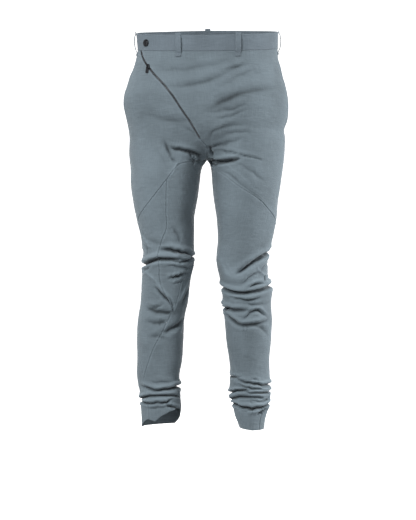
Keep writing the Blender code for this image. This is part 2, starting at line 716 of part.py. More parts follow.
def build_panels():
    zip_right = lambda drop: -zip_u(drop)
    left_front = first_of((STAR, CROTCH), zip_u, centre, SEAM_A_LEFT_U)
    right_front = first_of((STAR, CROTCH), zip_right, centre, SEAM_A_RIGHT_U)
    left_side = lambda drop: mouth_u(OUTSEAM_LEFT, drop)
    right_side = lambda drop: mouth_u(OUTSEAM_RIGHT, drop)
    thigh_start = first_of((SEAM_C_START,), centre, SEAM_C_U)
    thigh_end = first_of((SEAM_B_START,), SEAM_A_LEFT_U, seam_b_u)
    knee_start = first_of((SEAM_B_END + 1,), seam_b_u, SEAM_C_U)
    knee_end = first_of((SLANT_END + 1,), SEAM_A_LEFT_U, outseam_left)
    shin_end = first_of((SEAM_C_END + 1,), SEAM_C_U, outseam_left)
    right_leg_end = first_of((SLANT_END + 1,), SEAM_A_RIGHT_U, outseam_right)
    back_end = lambda drop: np.ones(np.shape(drop))
    right_back_end = lambda drop: 1 + inseam_right(drop)

    panels = (
        ("front_left_upper", LEFT, BAND_END, SLANT_END, left_front, left_side, 12),
        ("front_right_apron", RIGHT, BAND_END, SLANT_END, right_front, right_side, 19),
        ("left_inner_thigh", LEFT, CROTCH + 1, SEAM_B_END, thigh_start, thigh_end, 6),
        ("left_outer_knee", LEFT, SEAM_B_START, SEAM_C_END, knee_start, knee_end, 6),
        ("left_shin", LEFT, SEAM_C_START, HEM, centre, shin_end, 8),
        ("right_leg_front", RIGHT, CROTCH + 4, HEM, inseam_right, right_leg_end, 9),
        ("back_left", LEFT, BAND_END, HEM, outseam_left, back_end, 9),
        ("back_right", RIGHT, BAND_END, HEM, outseam_right, right_back_end, 9),
    )
    for name, half, top, bottom, start, end, columns in panels:
        rows = rows_between(top, bottom, start, end, half)
        if name.startswith("front"):
            zip_gap = np.where(rows < ZIP_END, zip_slot(rows), GAP / 2)
            cloth_piece(name, half, rows, start, end, columns, proud=mouth_lift, insets=(zip_gap, GAP / 2))
        else:
            beside_fork = np.where(rows < CROTCH + 12, 0.6, GAP / 2)
            cloth_piece(name, half, rows, start, end, columns, insets=(beside_fork, GAP / 2))


def build_pockets():
    """The strip of each pocket that shows behind the mouth, from under the front panel to the side seam."""
    rows = np.append(PIECE_ROWS[PIECE_ROWS <= POCKET_END], POCKET_BAG_END)
    for name, half in (("pocket_facing_left", LEFT), ("pocket_facing_right", RIGHT)):
        start = lambda drop: mouth_u(OUTSEAM_LEFT, np.minimum(drop, POCKET_END)) - 0.018
        end = lambda drop: np.full(np.shape(drop), 0.512)
        cloth_piece(name, half, rows, start, end, 6, proud=-(CLOTH + 2 * GAP))


def build_waistband():
    band_rows = np.linspace(0, BAND_END - GAP / 2, 4)
    end_u = lookup(BAND_END_X, 20.0)[1]
    right_seam = lambda drop: np.full(np.shape(drop), 0.5)
    front_end = lambda drop: np.full(np.shape(drop), -end_u)
    cloth_piece(
        "waistband_front", RIGHT, band_rows, front_end, right_seam, 22, "band", BAND_PROUD, BAND_WALL
    )
    back_end = lambda drop: np.full(np.shape(drop), 2 - end_u + UNDERLAP)
    under = BAND_PROUD - BAND_WALL - GAP - 0.15

    def tucked(u, drop):
        return BAND_PROUD + (under - BAND_PROUD) * ease((u - (2 - end_u - 0.06)) / 0.05)

    cloth_piece("waistband_back", RIGHT, band_rows, right_seam, back_end, 32, "band", tucked, BAND_WALL)
    return end_u


def strip(name, half, u_path, drop_path, offset_path, width, thick, kind, columns=2):
    """A flat strip along a path on the cloth, `offset_path` mm above it, `width` mm wide."""
    u_path, drop_path, offset_path = (np.asarray(a, float) for a in (u_path, drop_path, offset_path))
    step = 0.004
    scale = np.linalg.norm(
        cloth_point(half, u_path + step, drop_path) - cloth_point(half, u_path - step, drop_path), axis=-1
    )
    side = np.linspace(-0.5, 0.5, columns + 1) * width
    u = u_path[:, None] + side * (2 * step / scale)[:, None]
    drop = np.broadcast_to(drop_path[:, None], u.shape)
    points = cloth_point(half, u, drop)
    normals = outward(cloth_point, half, u, drop)
    low = points + offset_path[:, None, None] * normals
    return wall(name, low + thick * normals, low, kind)


def build_loops():
    """Belt loops: tacked above the waistband's edge and below its seam, and standing off between."""
    drops = np.array([LOOP_TOP, 1, 6, 13, 22, 31, 39, 45, LOOP_BOTTOM])
    near = BAND_PROUD + GAP
    for name, (half, u, stand) in LOOPS.items():
        arch = np.sin(np.clip((drops - 1) / 43, 0, 1) * math.pi) ** 0.6
        rest = np.where(drops > BAND_END + 5, GAP + 0.05, near + 0.1)
        offset = rest + (stand - near) * arch
        strip(name, half, np.full(len(drops), u), drops, offset, LOOP_WIDTH, LOOP_WALL, "band")


def build_zip_tapes():
    """Two tapes under the cloth's edges. Above the slider they part."""
    rows = np.concatenate([[BAND_END + 0.6], PIECE_ROWS[(PIECE_ROWS > BAND_END + 5) & (PIECE_ROWS <= ZIP_END)]])
    u = zip_u(rows)
    scale = np.linalg.norm(base_point(LEFT, u + 0.004, rows) - base_point(LEFT, u - 0.004, rows), axis=-1) / 0.008
    slope = np.sqrt(1 + (np.gradient(u, rows) * scale) ** 2)
    part = 0.2 + 1.9 * np.clip((SLOT_OPENS_AT - rows) / 38, 0, 1)
    low = -(CLOTH + TAPE_CLEAR + TAPE_WALL)
    for name, sign in (("zip_tape_left", 1), ("zip_tape_right", -1)):
        t = np.linspace(0, 1, 3)
        across = sign * (part[:, None] + TAPE_WIDTH * t) * slope[:, None] / scale[:, None]
        grid_u = u[:, None] + across
        drop = np.broadcast_to(rows[:, None], grid_u.shape)
        points = cloth_point(LEFT, grid_u, drop)
        normals = outward(cloth_point, LEFT, grid_u, drop)
        wall(name, points + (low + TAPE_WALL) * normals, points + low * normals, "tape")


def frame_at(half, u, drop):
    """(point, right, up, out) on the cloth: `right` is level, and `up` lies in the cloth."""
    u, drop = np.array([u]), np.array([drop])
    out = outward(cloth_point, half, u, drop)[0]
    right = unit(np.cross(np.array([0.0, 0.0, 1.0]), out))
    return cloth_point(half, u, drop)[0], right, np.cross(out, right), out


def placed(right, up, out):
    return Matrix(np.array([right, up, out]).T.tolist()).to_4x4()


def build_button():
    """A domed press stud with a sunk middle, turned about its axis."""
    place = lookup(BUTTON_X, BUTTON_DROP)
    point, right, up, out = frame_at(LEFT, place[1], place[2])
    profile = (
        (0, 0),
        (BUTTON_RADIUS, 0),
        (BUTTON_RADIUS, 1.4),
        (BUTTON_RADIUS - 1.4, 2.6),
        (BUTTON_DIMPLE + 0.7, BUTTON_HEIGHT),
        (BUTTON_DIMPLE, 2.3),
        (0, 2.1),
    )
    maker = bmesh.new()
    points = [maker.verts.new((r, 0, h)) for r, h in profile]
    edges = [maker.edges.new(pair) for pair in zip(points, points[1:])]
    bmesh.ops.spin(
        maker, geom=points + edges, cent=(0, 0, 0), axis=(0, 0, 1), angle=2 * math.pi, steps=20, use_merge=True
    )
    bmesh.ops.remove_doubles(maker, verts=maker.verts, dist=0.001)
    maker.transform(placed(right, up, out))
    origin = point + (BAND_PROUD + GAP) * out
    return add_object("waist_button", maker, "metal", origin)


def box(low, high):
    """A box between two corners."""
    low, high = Vector(low), Vector(high)
    maker = bmesh.new()
    matrix = Matrix.Translation((low + high) / 2) @ Matrix.Diagonal((*(high - low), 1))
    bmesh.ops.create_cube(maker, size=1, matrix=matrix)
    return maker


def plate(outline, low, high, upright=False):
    """An outline pushed through from low to high: along z or, if upright, along x from a (y, z) outline."""
    maker = bmesh.new()
    corner = (lambda a, b: (low, a, b)) if upright else (lambda a, b: (a, b, low))
    face = maker.faces.new([maker.verts.new(corner(a, b)) for a, b in outline])
    pushed = bmesh.ops.extrude_face_region(maker, geom=[face])["geom"]
    way = (high - low, 0, 0) if upright else (0, 0, high - low)
    bmesh.ops.translate(maker, vec=way, verts=[v for v in pushed if isinstance(v, bmesh.types.BMVert)])
    bmesh.ops.recalc_face_normals(maker, faces=maker.faces)
    return maker


def joined(name, bodies, kind, frame, origin):
    """One solid from overlapping bodies, by Boolean unions."""
    first = None
    for i, maker in enumerate(bodies):
        maker.transform(frame)
        made = add_object(name if i == 0 else f"{name}_add_{i}", maker, kind, origin)
        if first is None:
            first = made
            continue
        made.hide_render = True
        made.display_type = "WIRE"
        union = first.modifiers.new(f"add_{i}", "BOOLEAN")
        union.operation = "UNION"
        union.object = made
    return first


def zip_frame():
    """Frame at the slider: the hinge is level, so the pull hangs straight down."""
    x = np.interp(SLIDER_DROP, ZIP_LINE["drop"], ZIP_LINE["x"])
    place = lookup(x, SLIDER_DROP)
    return frame_at(LEFT, place[1], place[2])


def build_slider():
    """Slider: a plate on the cloth, a keel down between its edges and an arch that holds the pull."""
    point, right, up, out = zip_frame()
    low, high = SLIDER_PLATE
    top, clear = HINGE_HEIGHT + BRIDGE_TOP, HINGE_HEIGHT + BRIDGE_CLEAR
    a, b = SLIDER_HALF_WIDTH, SLIDER_HALF_LENGTH
    cut = 2.2
    body = plate(
        ((-a + cut, -b), (a - cut, -b), (a, -b + cut), (a, b - cut), (a - cut, b), (cut - a, b), (-a, b - cut), (-a, cut - b)),
        low,
        high,
    )
    keel = box((-KEEL_HALF_WIDTH, -1.6, -(CLOTH + 0.1)), (KEEL_HALF_WIDTH, 1.6, (low + high) / 2))
    foot = high - 0.5
    y = HINGE_Y
    arch = plate(
        (
            (y - BRIDGE_OUTSIDE, foot),
            (y - BRIDGE_OUTSIDE, top),
            (y + BRIDGE_OUTSIDE, top),
            (y + BRIDGE_OUTSIDE, foot),
            (y + BRIDGE_INSIDE, foot),
            (y + BRIDGE_INSIDE, clear),
            (y - BRIDGE_INSIDE, clear),
            (y - BRIDGE_INSIDE, foot),
        ),
        -BRIDGE_HALF_WIDTH,
        BRIDGE_HALF_WIDTH,
        upright=True,
    )
    joined("zip_slider", (body, keel, arch), "metal", placed(right, up, out), point)


def build_pull():
    """Pull tab: a flat tab with an open eye, closed by the round bar that turns in the slider's arch."""
    point, right, up, out = zip_frame()
    hinge = point + HINGE_Y * up + HINGE_HEIGHT * out
    half, w, arm, eye, end = PULL_THICK / 2, PULL_HALF_WIDTH, PULL_ARM, EYE_HALF_WIDTH, 0.35
    outline = (
        (1.4 - w, -PULL_LENGTH),
        (w - 1.4, -PULL_LENGTH),
        (w, 1.4 - PULL_LENGTH),
        (w, -EYE_DEPTH - 2.4),
        (arm, -EYE_DEPTH),
        (arm, end),
        (eye, end),
        (eye, -EYE_DEPTH),
        (-eye, -EYE_DEPTH),
        (-eye, end),
        (-arm, end),
        (-arm, -EYE_DEPTH),
        (-w, -EYE_DEPTH - 2.4),
        (-w, 1.4 - PULL_LENGTH),
    )
    bar = bmesh.new()
    turn = Matrix.Rotation(math.pi / 2, 4, "Y")
    bmesh.ops.create_cone(
        bar, cap_ends=True, segments=12, radius1=BAR_RADIUS, radius2=BAR_RADIUS, depth=2 * eye + 1.0, matrix=turn
    )
    joined("zip_pull", (plate(outline, -half, half), bar), "metal", placed(right, up, out), hinge)
    print("hinge at", (hinge * MM).round(5).tolist(), "axis", right.round(5).tolist())


def main():
    for old in list(bpy.data.objects):
        bpy.data.objects.remove(old, do_unlink=True)
    build_panels()
    build_pockets()
    end_u = build_waistband()
    build_loops()
    build_zip_tapes()
    build_button()
    build_slider()
    build_pull()
    print("band end u", end_u)


main()
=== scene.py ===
# %% [markdown]
# # Slim trousers with a slanted zip
# The real object is a pair of slim, asymmetric trousers, cut from a blue-grey cotton and linen cloth.
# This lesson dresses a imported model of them: every sewn piece of the frame gets a finer surface with
# its creases, seams, stitches and finish. The frame is loaded first, because each piece rides on it.

# %% Load the frame
import json
import math

import bpy
import numpy as np
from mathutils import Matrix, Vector


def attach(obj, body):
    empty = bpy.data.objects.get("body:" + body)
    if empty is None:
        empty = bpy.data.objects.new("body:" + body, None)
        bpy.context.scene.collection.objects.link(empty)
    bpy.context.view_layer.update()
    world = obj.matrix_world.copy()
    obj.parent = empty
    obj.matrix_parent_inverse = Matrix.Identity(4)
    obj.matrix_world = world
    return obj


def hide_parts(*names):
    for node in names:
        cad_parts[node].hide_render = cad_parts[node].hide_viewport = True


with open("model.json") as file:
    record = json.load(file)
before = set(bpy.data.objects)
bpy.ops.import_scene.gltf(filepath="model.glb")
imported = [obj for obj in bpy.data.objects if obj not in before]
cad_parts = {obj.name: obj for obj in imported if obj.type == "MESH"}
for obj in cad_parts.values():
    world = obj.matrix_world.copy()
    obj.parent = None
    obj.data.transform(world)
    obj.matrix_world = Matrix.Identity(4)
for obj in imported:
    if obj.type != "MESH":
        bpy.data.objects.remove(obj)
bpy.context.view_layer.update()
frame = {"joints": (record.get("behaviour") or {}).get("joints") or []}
scene = bpy.context.scene
MM = 0.001
LEFT, RIGHT = 0, 1
SIDE_SIGN = np.array([-1.0, 1.0])


# %% [markdown]
# ## The garment's sizes
# A pattern cutter describes trousers by a few girths at a few heights. Here each height below the waist
# has its reach to the left, right, front and back. Everything later is read from the one surface that
# these rows give, so a seam, a belt loop or a stitch can't drift away from the cloth that carries it.

# %% Sizes of the rings, mm


def table(columns, *rows):
    """Named columns of a short table, each an array."""
    return dict(zip(columns.split(), np.array(rows, float).T))


TORSO = table(
    "drop left right front back square",
    (-20, 163, 163, 90, 96, 2.7),
    (0, 163, 162, 92, 98, 2.7),
    (37, 160, 161, 97, 106, 2.7),
    (60, 164, 162, 101, 114, 2.6),
    (83, 171, 169, 104, 121, 2.5),
    (106, 181, 174, 107, 127, 2.45),
    (129, 187, 181, 109, 131, 2.4),
    (152, 194, 185, 110, 134, 2.35),
    (175, 192, 187, 110, 135, 2.3),
    (198, 187, 185, 109, 134, 2.3),
    (221, 181, 176, 107, 131, 2.3),
    (244, 178, 181, 104, 127, 2.3),
    (267, 178, 180, 101, 120, 2.2),
    (290, 180, 176, 98, 110, 2.2),
)
LEFT_LEG = table(
    "drop inner outer front back",
    (290, 0, -180, -98, 110),
    (301, -8, -176, -96, 106),
    (336, -17, -176, -93, 98),
    (382, -24, -171, -89, 86),
    (428, -31, -162, -84, 74),
    (474, -31, -151, -79, 62),
    (520, -31, -147, -75, 54),
    (566, -40, -151, -68, 60),
    (612, -45, -153, -60, 68),
    (658, -54, -160, -54, 73),
    (704, -56, -162, -49, 73),
    (750, -59, -162, -44, 68),
    (784, -65, -163, -40, 62),
    (819, -64, -157, -39, 57),
    (853, -61, -154, -38, 52),
    (884, -64, -152, -38, 49),
    (930, -76, -149, -38, 46),
)
RIGHT_LEG = table(
    "drop inner outer front back",
    (290, 0, 176, -98, 110),
    (301, 3, 174, -96, 106),
    (336, 10, 169, -93, 98),
    (382, 15, 162, -89, 86),
    (428, 22, 158, -84, 74),
    (474, 24, 148, -79, 62),
    (520, 20, 137, -75, 54),
    (554, 27, 138, -70, 58),
    (589, 34, 148, -64, 65),
    (623, 36, 146, -58, 70),
    (658, 40, 148, -54, 73),
    (704, 43, 146, -49, 73),
    (750, 50, 142, -44, 68),
    (784, 52, 143, -40, 62),
    (819, 50, 144, -39, 57),
    (853, 58, 143, -38, 52),
    (876, 62, 136, -38, 49),
    (906, 74, 130, -38, 47),
    (930, 78, 128, -38, 46),
)
CROTCH = 290.0
print("rows of hips and legs:", [len(part["drop"]) for part in (TORSO, LEFT_LEG, RIGHT_LEG)])


# %% [markdown]
# ## One surface for the whole garment
# Worn cloth runs in rings: an oval round the hips that parts into two legs. A squared circle gives each
# ring its slightly boxy shape, and a monotone cubic joins the heights without bulging between them.
# `u` runs round one half, 0 at the centre front or inseam, 0.5 at the side seam, 1 at the centre back.

# %% Curves and rings
LEG_SQUARE = 2.15


def smooth(x, xs, ys):
    """Cubic through (xs, ys): each slope is the harmonic mean of its neighbours, or level at a turn."""
    rise = np.diff(ys) / np.diff(xs)
    product = rise[1:] * rise[:-1]
    level = 2 * product / np.where(product > 0, rise[1:] + rise[:-1], 1)
    slope = np.concatenate([rise[:1], np.where(product > 0, level, 0), rise[-1:]])
    i = np.clip(np.searchsorted(xs, x) - 1, 0, len(xs) - 2)
    width = xs[i + 1] - xs[i]
    t = np.clip((x - xs[i]) / width, 0, 1)
    near = (1 + 2 * t) * (1 - t) ** 2 * ys[i] + t * (1 - t) ** 2 * width * slope[i]
    return near + t * t * (3 - 2 * t) * ys[i + 1] + t * t * (t - 1) * width * slope[i + 1]


def ease(t):
    """3t^2 - 2t^3: 0 to 1 with level ends."""
    t = np.clip(t, 0, 1)
    return t * t * (3 - 2 * t)


def bell(x, width):
    """exp(-(x / width)^2): 1 at x = 0 and next to nothing two widths away."""
    return np.exp(-((x / width) ** 2))


def unit(v):
    """v divided by its length."""
    return v / np.linalg.norm(v, axis=-1, keepdims=True)


def squared_circle(angle, power):
    """(sin, cos) pushed out to the curve |x|^power + |y|^power = 1."""
    s, c = np.sin(angle), np.cos(angle)
    reach = (abs(s) ** power + abs(c) ** power) ** (-1 / power)
    return s * reach, c * reach


def torso_point(half, u, drop):
    """x and y of the hips' ring: its reach to the side and to the front or back, on a squared circle."""
    s, c = squared_circle(math.pi * u, smooth(drop, TORSO["drop"], TORSO["square"]))
    reach = smooth(drop, TORSO["drop"], TORSO["right" if half else "left"])
    depth = np.where(c > 0, *(smooth(drop, TORSO["drop"], TORSO[k]) for k in ("front", "back")))
    return SIDE_SIGN[half] * reach * s, -depth * c


def leg_point(half, u, drop):
    """x and y of a leg's ring, once round from the inseam."""
    leg = RIGHT_LEG if half else LEFT_LEG
    s, c = squared_circle(2 * math.pi * u - math.pi / 2, LEG_SQUARE)
    inner, outer, front, back = (
        smooth(drop, leg["drop"], leg[k]) for k in ("inner", "outer", "front", "back")
    )
    x = (inner + outer) / 2 + (outer - inner) / 2 * s
    return x, (front + back) / 2 - (back - front) / 2 * c


seat = torso_point(RIGHT, np.array(0.5), np.array(175.0))
print("reach of the hips to the right at the seat, mm:", round(float(seat[0]), 1))

# %% [markdown]
# At the fork a hip ring has to become two leg rings. The cloth hangs from the crotch point in a curve
# like a quarter ellipse, while at the sides the legs part from the hips slowly. The waist's edge isn't
# level either: it dips in front and is pulled up at the back.

# %% Where hips become legs
RISE_START = 200.0
LEG_FORMS_FROM, LEG_FORMS_TO = 130.0, 350.0
FORK_WIDTH = 0.11
WAIST_LIFT, WAIST_BACK_LIFT, WAIST_SIDE_LIFT, WAIST_LIFT_ENDS = 3.0, 13.0, 1.5, 190.0
HALF_WIDTH = 160.0
GRID_COLUMNS = 32
GRID_DROPS = np.concatenate(
    [
        np.arange(-20.0, RISE_START, 20.0),
        RISE_START + (CROTCH - RISE_START) * np.sin(np.linspace(0, math.pi / 2, 8)),
        [296.0, 306.0, 320.0],
        np.arange(340.0, 961.0, 20.0),
    ]
)


def from_fork(u):
    """Distance in u from the inseam, or from the centre front or back above it."""
    return np.minimum(abs(u), abs(1 - u))


def ring_surface():
    """Hip rings that turn into leg rings: along a quarter ellipse at the fork, slowly elsewhere."""
    drop, u = np.meshgrid(GRID_DROPS, np.linspace(0, 1, GRID_COLUMNS + 1), indexing="ij")
    t = np.clip((drop - RISE_START) / (CROTCH - RISE_START), 0, 1)
    at_fork = bell(from_fork(u), FORK_WIDTH)
    round_leg = ease((drop - LEG_FORMS_FROM) / (LEG_FORMS_TO - LEG_FORMS_FROM))
    turned = at_fork * (1 - np.sqrt(1 - t * t)) + (1 - at_fork) * round_leg
    halves = []
    for half in (LEFT, RIGHT):
        torso = torso_point(half, u, np.minimum(drop, CROTCH))
        leg = leg_point(half, u, np.maximum(drop, CROTCH))
        x, y = ((1 - turned) * a + turned * b for a, b in zip(torso, leg))
        lift = WAIST_LIFT - WAIST_BACK_LIFT * np.cos(math.pi * u) + WAIST_SIDE_LIFT * x / HALF_WIDTH
        z = lift * (1 - ease(drop / WAIST_LIFT_ENDS)) - drop
        halves.append(np.stack([x, y, z], axis=-1))
    return np.array(halves)


print("ring heights:", len(GRID_DROPS))

# %% [markdown]
# A half's rings join the other half's above the crotch and their own other end below it. A small class
# holds values on such rings and reads them anywhere with cubic weights, so one reader serves the coarse
# form, the fine form, its normals and its creases.

# %% Values on rings
READ_WIDTH = 0.05


def catmull(t):
    """Cubic weights of four neighbours for a curve that passes through the middle two."""
    return (
        ((2 - t) * t - 1) * t / 2,
        ((3 * t - 5) * t * t + 2) / 2,
        ((4 - 3 * t) * t + 1) * t / 2,
        (t - 1) * t * t / 2,
    )


class Rings:
    """Values on a grid of half, drop and u."""

    def __init__(self, values, drops):
        self.values, self.drops = values, drops
        self.columns = values.shape[2] - 1
        self.crotch_row = int(np.argmin(abs(drops - CROTCH)))

    def at(self, half, row, column):
        """A grid value. Past an end it is the other half's down to the crotch, and the same leg's below."""
        n = self.columns
        row = np.clip(row, 0, len(self.drops) - 1)
        outside = (column < 0) | (column > n)
        mirrored = outside & (row <= self.crotch_row)
        wrapped = outside & (row > self.crotch_row)
        column = np.where(mirrored, np.where(column < 0, -column, 2 * n - column), column)
        column = np.where(wrapped, np.mod(column, n), column)
        return self.values[np.where(mirrored, 1 - half, half), row, column]

    def __call__(self, half, u, drop):
        """Cubic in both directions. Beside the fork, the curves of hips and legs stop at the crotch row."""
        row = np.interp(drop, self.drops, np.arange(len(self.drops)))
        column = u * self.columns
        i, j = np.floor(row).astype(int), np.floor(column).astype(int)
        down, along = catmull(row - i), catmull(column - j)
        edge = bell(from_fork(u), READ_WIDTH)[..., None]
        above = edge * (i == self.crotch_row)[..., None]
        below = edge * (i == self.crotch_row - 1)[..., None]
        total = 0
        for b in range(4):
            points = [self.at(half, i + a - 1, j + b - 1) for a in range(4)]
            points[0] = points[0] + above * (2 * points[1] - points[2] - points[0])
            points[3] = points[3] + below * (2 * points[2] - points[1] - points[3])
            for a in range(4):
                total = total + (down[a] * along[b])[..., None] * points[a]
        return total


def relaxed(rings, rounds=24, above_crotch=4, reach_drop=32.0, reach_u=0.12):
    """Each point near the fork drawn towards the mean of its neighbours, as taut cloth lies."""
    half, row, column = np.indices(rings.values.shape[:3])
    near = bell(rings.drops[row] - CROTCH + above_crotch, reach_drop)
    pull = 0.5 * (near * bell(from_fork(column / rings.columns), reach_u))[..., None]
    ends = (0, rings.columns)
    for _ in range(rounds):
        around = [rings.at(half, row + a, column + b) for a, b in ((1, 0), (-1, 0), (0, 1), (0, -1))]
        moved = rings.values + pull * (sum(around) / 4 - rings.values)
        rise = moved[LEFT, rings.crotch_row - 1, ends].sum(axis=0) / 2
        legs = moved[:, rings.crotch_row + 1, 0].sum(axis=0) / 2
        moved[:, rings.crotch_row, ends] = (rise + legs) / 2
        rings.values = moved
    return rings


base_point = relaxed(Rings(ring_surface(), GRID_DROPS))
print("coarse rings:", base_point.values.shape)


# %% [markdown]
# ## Placing things as the photograph shows them
# Creases and seams are drawn where they are seen from the front, in millimetres on the plane of the
# waist. A fine set of surface samples turns such a place into its `u` and drop on the cloth. The nearest
# sample is taken among those that face the view or, for the back, among those that face away.

# %% From a place in the front view to a place on the cloth
VIEW_DISTANCE, VIEW_DROP = 6000.0, 520.0
FACING = 0.05


def base_normal(half, u, drop, step_u=0.008, step_drop=3.0):
    """Unit normal: the cross product of a short step down and a short step round."""
    across = base_point(half, u + step_u, drop) - base_point(half, u - step_u, drop)
    down = base_point(half, u, drop + step_drop) - base_point(half, u, drop - step_drop)
    return unit(np.cross(down, across)) * SIDE_SIGN[half]


def surface_samples():
    """Columns of half, u, drop, x, y, z and the normal's y, over both halves."""
    drop, u = np.meshgrid(np.arange(-4.0, 925.0, 3.0), np.linspace(0, 1, 241), indexing="ij")
    found = []
    for half in (LEFT, RIGHT):
        points = base_point(half, u, drop).reshape(-1, 3).T
        facing = base_normal(half, u, drop)[..., 1].ravel()
        found.append([np.full(u.size, half), u.ravel(), drop.ravel(), *points, facing])
    return np.concatenate(found, axis=1)


SAMPLES = surface_samples()
NEARNESS = 1 + SAMPLES[4] / VIEW_DISTANCE
SEEN_X, SEEN_DROP = SAMPLES[3] / NEARNESS, VIEW_DROP + (-SAMPLES[5] - VIEW_DROP) / NEARNESS


def lookup(x, drop, back=False):
    """The sample that appears nearest to x and drop, on the front or through to the back."""
    facing = SAMPLES[6] > FACING if back else SAMPLES[6] < -FACING
    distance = (SEEN_X - x) ** 2 + (SEEN_DROP - drop) ** 2
    return SAMPLES[:, np.argmin(np.where(facing, distance, np.inf))]


print("samples:", SAMPLES.shape[1])


# %% [markdown]
# ## Creases
# The cloth is pulled by the crotch, stacked at the knees and pushed up at the ankles. Each crease is a
# soft trough with a swell beside it, along a curve through three places. Cloth simulation would give
# other creases than the ones shown, so they are placed one by one, uneven in length, depth and spacing. A
# row holds the three places as x and drop, then the trough's width, its depth and the swell's share.

# %% Main creases, mm
FRONT_FOLDS = table(
    "x0 d0 x1 d1 x2 d2 width depth lip",
    (-110, 81, -35, 79, 46, 64, 9, 0.9, 0.5),
    (-95, 118, -12, 112, 90, 62, 9, 1.2, 0.5),
    (30, 124, 72, 96, 102, 84, 8, 1.0, 0.4),
    (2, 171, 66, 142, 140, 128, 14, 1.9, 0.4),
    (5, 180, 62, 172, 88, 155, 9, 1.3, 0.4),
    (8, 237, 24, 218, 80, 211, 6, 1.3, 0.5),
    (0, 262, 30, 257, 74, 240, 6, 1.4, 0.5),
    (-144, 187, -88, 197, -40, 203, 13, 1.1, 0.4),
    (-80, 262, -48, 270, -14, 281, 5, 4.4, 0.5),
    (-100, 244, -90, 268, -76, 294, 6, 1.9, 0.2),
    (-6, 290, 32, 293, 71, 287, 5.5, 6.2, 0.6),
    (20, 266, 56, 274, 122, 289, 3.5, 1.7, 0.7),
    (18, 306, 75, 343, 121, 382, 5, 0.8, 0.7),
    (-150, 462, -114, 482, -84, 484, 9, 1.0, 0.4),
    (-78, 448, -68, 464, -60, 478, 8, 1.4, 0.4),
    (-104, 497, -66, 500, -39, 510, 6, 4.9, 0.88),
    (-147, 530, -112, 519, -44, 521, 5.5, 5.6, 1.1),
    (-90, 532, -65, 536, -40, 538, 4, 1.6, 0.5),
    (-88, 563, -67, 556, -46, 552, 4.5, 3.2, 0.8),
    (-118, 586, -103, 600, -84, 622, 4.5, 3.0, 0.9),
    (-58, 658, -75, 676, -100, 684, 8, 3.0, 0.66),
    (-138, 630, -110, 640, -76, 644, 8, 2.2, 0.55),
    (-138, 664, -110, 665, -94, 662, 8, 1.9, 0.55),
    (146, 502, 112, 520, 70, 550, 6, 5.6, 1.0),
    (33, 524, 60, 560, 98, 549, 14, -3.0, 0.0),
    (84, 574, 98, 558, 116, 548, 4, 1.6, 0.6),
    (86, 588, 110, 577, 134, 575, 4.5, 3.8, 0.9),
    (28, 581, 84, 596, 150, 576, 5.5, 5.4, 1.1),
    (56, 606, 84, 611, 112, 610, 4.5, 3.2, 0.9),
    (28, 628, 50, 634, 88, 635, 5.5, 4.6, 1.0),
    (86, 654, 110, 637, 136, 650, 4.5, 2.6, 0.8),
    (44, 646, 80, 668, 136, 661, 5.5, 3.2, 0.9),
    (102, 668, 124, 678, 138, 690, 8, 1.3, 0.5),
    (-150, 811, -112, 819, -66, 809, 4.5, 4.2, 1.1),
    (-154, 838, -110, 831, -66, 834, 4, 4.6, 1.1),
    (-154, 845, -132, 849, -98, 846, 3.5, 3.2, 0.9),
    (-110, 851, -97, 847, -82, 840, 3, 3.0, 0.9),
    (-92, 853, -82, 858, -66, 860, 3.5, 3.6, 0.8),
    (48, 786, 60, 788, 76, 789, 3.5, 2.4, 0.8),
    (70, 795, 106, 805, 144, 806, 4, 3.8, 1.1),
    (72, 806, 96, 815, 124, 818, 3.5, 2.8, 0.9),
    (52, 824, 72, 820, 94, 819, 3.5, 4.2, 1.0),
    (92, 824, 118, 827, 147, 822, 3.5, 4.0, 1.0),
    (56, 840, 90, 834, 124, 837, 4, 3.8, 1.0),
    (56, 848, 102, 861, 146, 849, 4.5, 4.8, 1.1),
)
